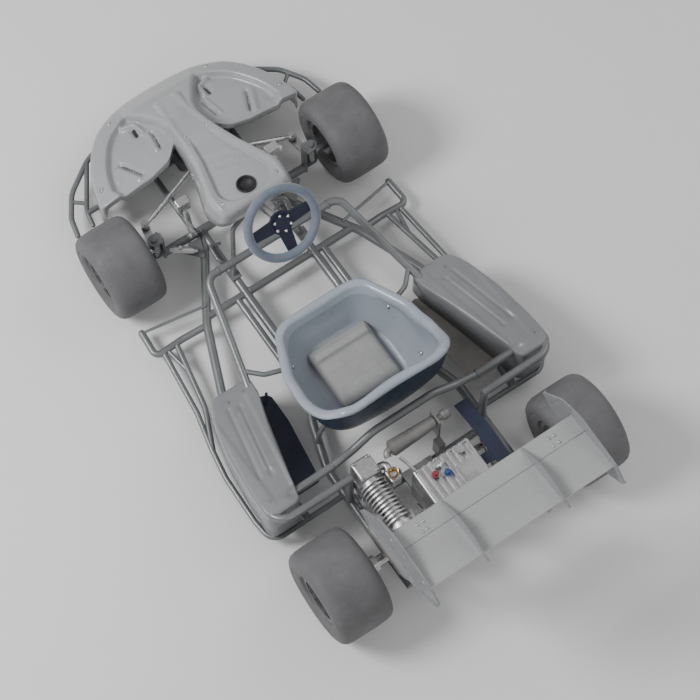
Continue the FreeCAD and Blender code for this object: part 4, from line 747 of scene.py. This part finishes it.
PAD_NX, PAD_NY = 56, 72
PAD_EDGE_Z, PAD_CROWN, PAD_ROLL, PAD_CHANNEL = 128, 21, 9.5, 1.2
PAD_CHANNELS = (0.50, 0.76)     # across the pad, as shares of its length
PAD_SIDE_CHANNEL = 0.62         # along the pad, as a share of its half width
PAD_BASE_Z = 122.5


def pad():
    """Crowned pad with a front roll and sewn channels."""
    low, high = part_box("seat_pad")
    x1, y0, y1 = high[0] / MM - 1, low[1] / MM + 2, high[1] / MM - 2
    nx, ny = PAD_NX, PAD_NY
    verts, faces = [], []

    def top(u, v):
        x, y = u * x1, y0 + (y1 - y0) * v
        edge = min(1 - abs(u), v * 1.1, (1 - v) * 1.1)
        z = PAD_EDGE_Z + PAD_CROWN * (1 - exp(-edge * 16))
        z += PAD_ROLL * bump_at(0, y, 0, y0 + 32, 1, 13) * (1 if abs(u) < 0.86 else 0.4)
        for line in PAD_CHANNELS:
            z -= PAD_CHANNEL * exp(-((v - line) / 0.010) ** 2) * (1 if abs(u) < 0.9 else 0.3)
        z -= PAD_CHANNEL * exp(-((abs(u) - PAD_SIDE_CHANNEL) / 0.016) ** 2)
        return z + 0.7 * noise.noise(V((x, y, 3)) * 0.03)

    for j in range(ny + 1):
        v = j / ny
        for i in range(nx + 1):
            u = -1 + 2 * i / nx
            pull = 1 - 0.02 * sin(pi * v) - 0.06 * max(0, abs(v - 0.5) - 0.42) / 0.08
            verts.append(V((u * x1 * pull, y0 + (y1 - y0) * v, top(u, v))) * MM)
    n = nx + 1
    for j in range(ny):
        for i in range(nx):
            faces.append((j * n + i, j * n + i + 1, (j + 1) * n + i + 1, (j + 1) * n + i))
    rim = list(range(n)) + [j * n + nx for j in range(1, ny + 1)]
    rim += [ny * n + i for i in range(nx - 1, -1, -1)] + [j * n for j in range(ny - 1, 0, -1)]
    base = len(verts)
    for index in rim:
        p = verts[index]
        verts.append(V((p.x * 0.97, p.y, PAD_BASE_Z * MM)))
    for k in range(len(rim)):
        nxt = (k + 1) % len(rim)
        faces.append((rim[k], rim[nxt], base + nxt, base + k))
    faces.append(tuple(base + k for k in range(len(rim))))
    item = add("seat_cushion", verts, faces, "pad", "frame", "seat_pad", replaces=("seat_pad",))


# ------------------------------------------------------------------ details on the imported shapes
WING_X = max(corner[0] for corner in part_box("wing_end_plates")) / MM - 5
# Steering wheel: its centre, the column's direction and the wheel's own upward direction
WHEEL_CENTRE = V((0, -205, 430))
WHEEL_TILT = radians(53)
WHEEL_OUT = V((0, sin(WHEEL_TILT), cos(WHEEL_TILT)))
WHEEL_UP = V((0, -cos(WHEEL_TILT), sin(WHEEL_TILT)))
WHEEL_ACROSS = V((1, 0, 0))
# Spots on the left half of the kart
RIVETS = [(700, 546), (752, 553), (836, 566)]
TOP_BOLTS = [(190, 704, 551), (206, 704, 551), (190, 726, 552.4), (206, 726, 552.4)]
NOSE_BOLTS = [(162, -852, (0.1, -0.5, 1)), (294, -672, (0.3, -0.2, 1))]
SPINE_BOLTS = [(86, -362, UP), (36, -640, (0, -0.5, 1))]
POD_BOLTS = [(350, 52), (420, 360), (300, 46)]
SEAT_BOLTS = [(222, 176), (66, 190)]
CRANKCASE_BOLTS = [(x, y, 262) for x in (146, 190) for y in (406, 450)]
CASE_BOLTS = [(x, y, 250) for x in (-84, -40, 6, 62) for y in (510, 634)]
HEAD_CENTRE, HEAD_CIRCLE = (174, 618, 230), 24
SPOKE_CIRCLE, SPOKE_LIFT = 24, 4.5
# Welds on both sides as (place, direction of the tube, its radius)
WELDS = [((112, 90, 62), (1, 0, 0), 11), ((203, 455, 62), (1, 0, 0), 11), ((203, 690, 62), (1, 0, 0), 11),
         ((100, -232, 62), (1, 0, 0), 11), ((215, 424, 76), (0, 0, 1), 11), ((176, -259, 241), (1, 0, 0), 11),
         ((230, 366, 222), (1, 0, 0.02), 11), ((112, -448, 62), (0, 1, 0), 12.5)]
# Turned fittings in section, as (height, radius)
BELL = [(0, 9), (6, 9.5), (11, 12), (14, 15), (15.2, 15.6), (15.0, 14.4), (11, 10.5), (4, 7.5), (-2, 7.0),
        (-2, 0)]
HOSE_FITTING = [(0, 9), (4, 9.6), (5, 8), (8, 8), (9, 9.6), (15, 9.6), (16, 8.5), (19, 6.2), (20, 3), (20, 0)]
PLUG = [(0, 12), (3, 12), (4, 9), (10, 9), (11, 7.6), (11, 0)]
BALL_R, BALL_STEPS = 9, 12
BELL_AT, PLUG_AT, BALL_AT = (120, 484, 263), (10, 526, 266), (-168, -482, 224)
FITTINGS = [("red", (30, 546, 255.5)), ("blue", (0, 560, 255.5))]
SIX_SIDED = 6


def around(turns):
    """Angles evenly spaced on a circle, the first one half a step in."""
    return [pi * (2 * k + 1) / turns for k in range(turns)]


def seat_bolt(y, z):
    """A spot on the seat's inner wall, facing inwards."""
    wall = min((p for p in seat_ring(z, SEAT_WALL) if p.x > 0), key=lambda p: abs(p.y - y))
    return (wall.x - 0.3, wall.y, z), (-1, 0, 0.3)


def bolts():
    def seated(spots, surface_at, sink):
        """Spots standing on a surface, sunk a little into it, on both sides."""
        return both([((x, y, surface_at(x, y) - sink), way) for x, y, way in spots])

    screws("wing_rivets", both([((WING_X, y, z), (1, 0, 0)) for y, z in RIVETS]), "frame", "steel", "steel",
           3.0, 2.0)
    screws("wing_top_bolts", both([(spot, UP) for spot in TOP_BOLTS]), "frame", "steel", "steel", 3.2, 3.0)
    screws("nose_bolts", seated(NOSE_BOLTS, nose_top, 0.5), "frame", "steel", "steel", 5.0, 3.5)
    screws("spine_bolts", seated(SPINE_BOLTS, spine_top, 0.5), "frame", "steel", "steel", 4.0, 3.0)
    screws("pod_bolts", seated([(x, y, UP) for x, y in POD_BOLTS], pod_top, 0.4), "frame", "can",
           "dark_steel", 3.4, 2.4)
    screws("seat_bolts", both([seat_bolt(y, z) for y, z in SEAT_BOLTS]), "frame", "steel", "steel", 5.5, 4.0)
    screws("case_bolts", [(spot, UP) for spot in CASE_BOLTS], "frame", "steel", "alloy", 4.0, 6.0)
    screws("crankcase_bolts", [(spot, UP) for spot in CRANKCASE_BOLTS], "frame", "steel", "alloy", 4.0, 6.0)
    x, y, z = HEAD_CENTRE
    head = [((x + HEAD_CIRCLE * cos(a), y, z + HEAD_CIRCLE * sin(a)), (0, 1, 0)) for a in around(4)]
    screws("head_nuts", head, "frame", "steel", "steel", 4.5, 7.0)
    face = WHEEL_CENTRE + WHEEL_OUT * SPOKE_LIFT
    spokes = [(face + WHEEL_ACROSS * (SPOKE_CIRCLE * cos(a)) + WHEEL_UP * (SPOKE_CIRCLE * sin(a)),
               tuple(WHEEL_OUT)) for a in around(6)]
    screws("spoke_bolts", spokes, "steering", "bright", "steel", 3.0, 3.0)


def welds():
    beads = [weld((side * x, y, z), way, radius) for side in (1, -1) for (x, y, z), way, radius in WELDS]
    add("weld_beads", *merge(beads), "weld", "frame", "frame_tube")


def fittings():
    """Intake bell, two hose fittings and a plug on the engine, and the ball on the throttle pedal."""
    add("intake_bell", *revolve(BELL, V(BELL_AT) * MM, UP, 36), "brass", "frame", "alloy")
    for color, spot in FITTINGS:
        fitting = revolve(HOSE_FITTING, V(spot) * MM, UP, SIX_SIDED)
        add(color + "_fitting", *fitting, color, "frame", "alloy", smooth=False)
    add("case_plug", *revolve(PLUG, V(PLUG_AT) * MM, UP, SIX_SIDED), "bright", "frame", "alloy", smooth=False)
    turns = [k * pi / BALL_STEPS for k in range(BALL_STEPS + 1)]
    ball = revolve([(BALL_R * -cos(t), BALL_R * sin(t)) for t in turns], V(BALL_AT) * MM, UP, 24)
    add("pedal_ball", *ball, "white", "throttle", "polished")


# ------------------------------------------------------------------ build everything
PAINT = {
    "frame": ("main_rails", "outer_rails", "seat_rails", "cross_tubes", "upper_rails", "rear_hoop",
              "pod_bars", "side_bars", "front_bumper", "steering_support", "kingpin_yokes",
              "pedal_mounts", "seat_struts", "wing_stays"),
    "wing": ("wing_main_plane", "wing_flap"),
    # The end plates and fences get the darker painted shade copy of the wing's sheet.
    "wing_side": ("wing_end_plates", "wing_fences"),
    "steel": ("knuckle_left", "knuckle_right", "tie_rod_left", "tie_rod_right", "steering_column",
              "rear_axle", "brake_disc", "output_sprocket", "throttle_lever"),
    "can": ("exhaust_pipe", "exhaust_silencer", "intake_silencer"),
    "cast": ("engine_crankcase", "carburettor", "transmission_case", "bearing_carriers", "rear_hubs",
             "brake_caliper", "master_cylinder", "axle_sprocket", "engine_barrel"),
    "bright": ("brake_pedal", "throttle_pedal"),
    "rim": ("front_rim_left", "front_rim_right", "rear_rims"),
    "grip": ("steering_wheel_rim",),
    "navy": ("steering_wheel_spokes", "chain_guard"),
    # The left tray gets the painted shade copy, the right tray the painted lit copy.
    "tray": ("side_tray_left",),
    "tray_painted_lit": ("side_tray_right",),
    "chain": ("chain",),
    "tank": ("fuel_tank",),
}
for coat, names in PAINT.items():
    paint(coat, names)
tyres()
nose()
spine()
pods()
seat()
pad()
bolts()
welds()
fittings()


# ------------------------------------------------------------------ stage, light and camera
FLOOR_HALF = 14.0       # metres
FLOOR_DROP = 0.0005     # metres below the part
WORLD_STRENGTH = 0.42
LIGHT_AIM = V((0, 0, 0.1))
LIGHTS = [("key", (3.0, -1.4, 3.6), 1.8, 190), ("fill", (-3.2, 0.4, 3.4), 3.0, 40),
          ("rear", (0.6, 3.6, 3.0), 2.6, 25)]      # name, place (metres), diameter (metres), watts
CAMERA_AT, CAMERA_AIM = V((1.3606, 2.1076, 6.1695)), V((-0.020, 0.081, 0.100))     # metres
LENS, SENSOR = 124.25, 36.0


def facing(item, spot, aim):
    """Puts a light or a camera on a spot, looking at aim."""
    item.location = spot
    item.rotation_euler = (aim - V(spot)).to_track_quat("-Z", "Y").to_euler()
    bpy.context.scene.collection.objects.link(item)


def stage():
    half = FLOOR_HALF
    mesh = bpy.data.meshes.new("studio_floor")
    mesh.from_pydata([(-half, -half, 0), (half, -half, 0), (half, half, 0), (-half, half, 0)], [],
                     [(0, 1, 2, 3)])
    floor = bpy.data.objects.new("studio_floor", mesh)
    bpy.context.scene.collection.objects.link(floor)
    mesh.materials.append(surface("floor_paper", (0.80, 0.80, 0.80), 0.85, 0.0, 0.01, 2, 80, 0.02, 0.0002))
    floor.location.z = CAD_BOX[0][2] - FLOOR_DROP
    world = bpy.data.worlds.new("studio")
    bpy.context.scene.world = world
    world.use_nodes = True
    background = world.node_tree.nodes["Background"]
    background.inputs["Color"].default_value = (1, 1, 1, 1)
    background.inputs["Strength"].default_value = WORLD_STRENGTH
    for name, spot, size, power in LIGHTS:
        light = bpy.data.lights.new(name, "AREA")
        light.shape = "DISK"
        light.size = size
        light.energy = power
        facing(bpy.data.objects.new(name, light), spot, LIGHT_AIM)


def camera():
    data = bpy.data.cameras.new("camera")
    data.lens = LENS
    data.sensor_width = SENSOR
    item = bpy.data.objects.new("camera", data)
    facing(item, CAMERA_AT, CAMERA_AIM)
    bpy.context.scene.camera = item


stage()
camera()
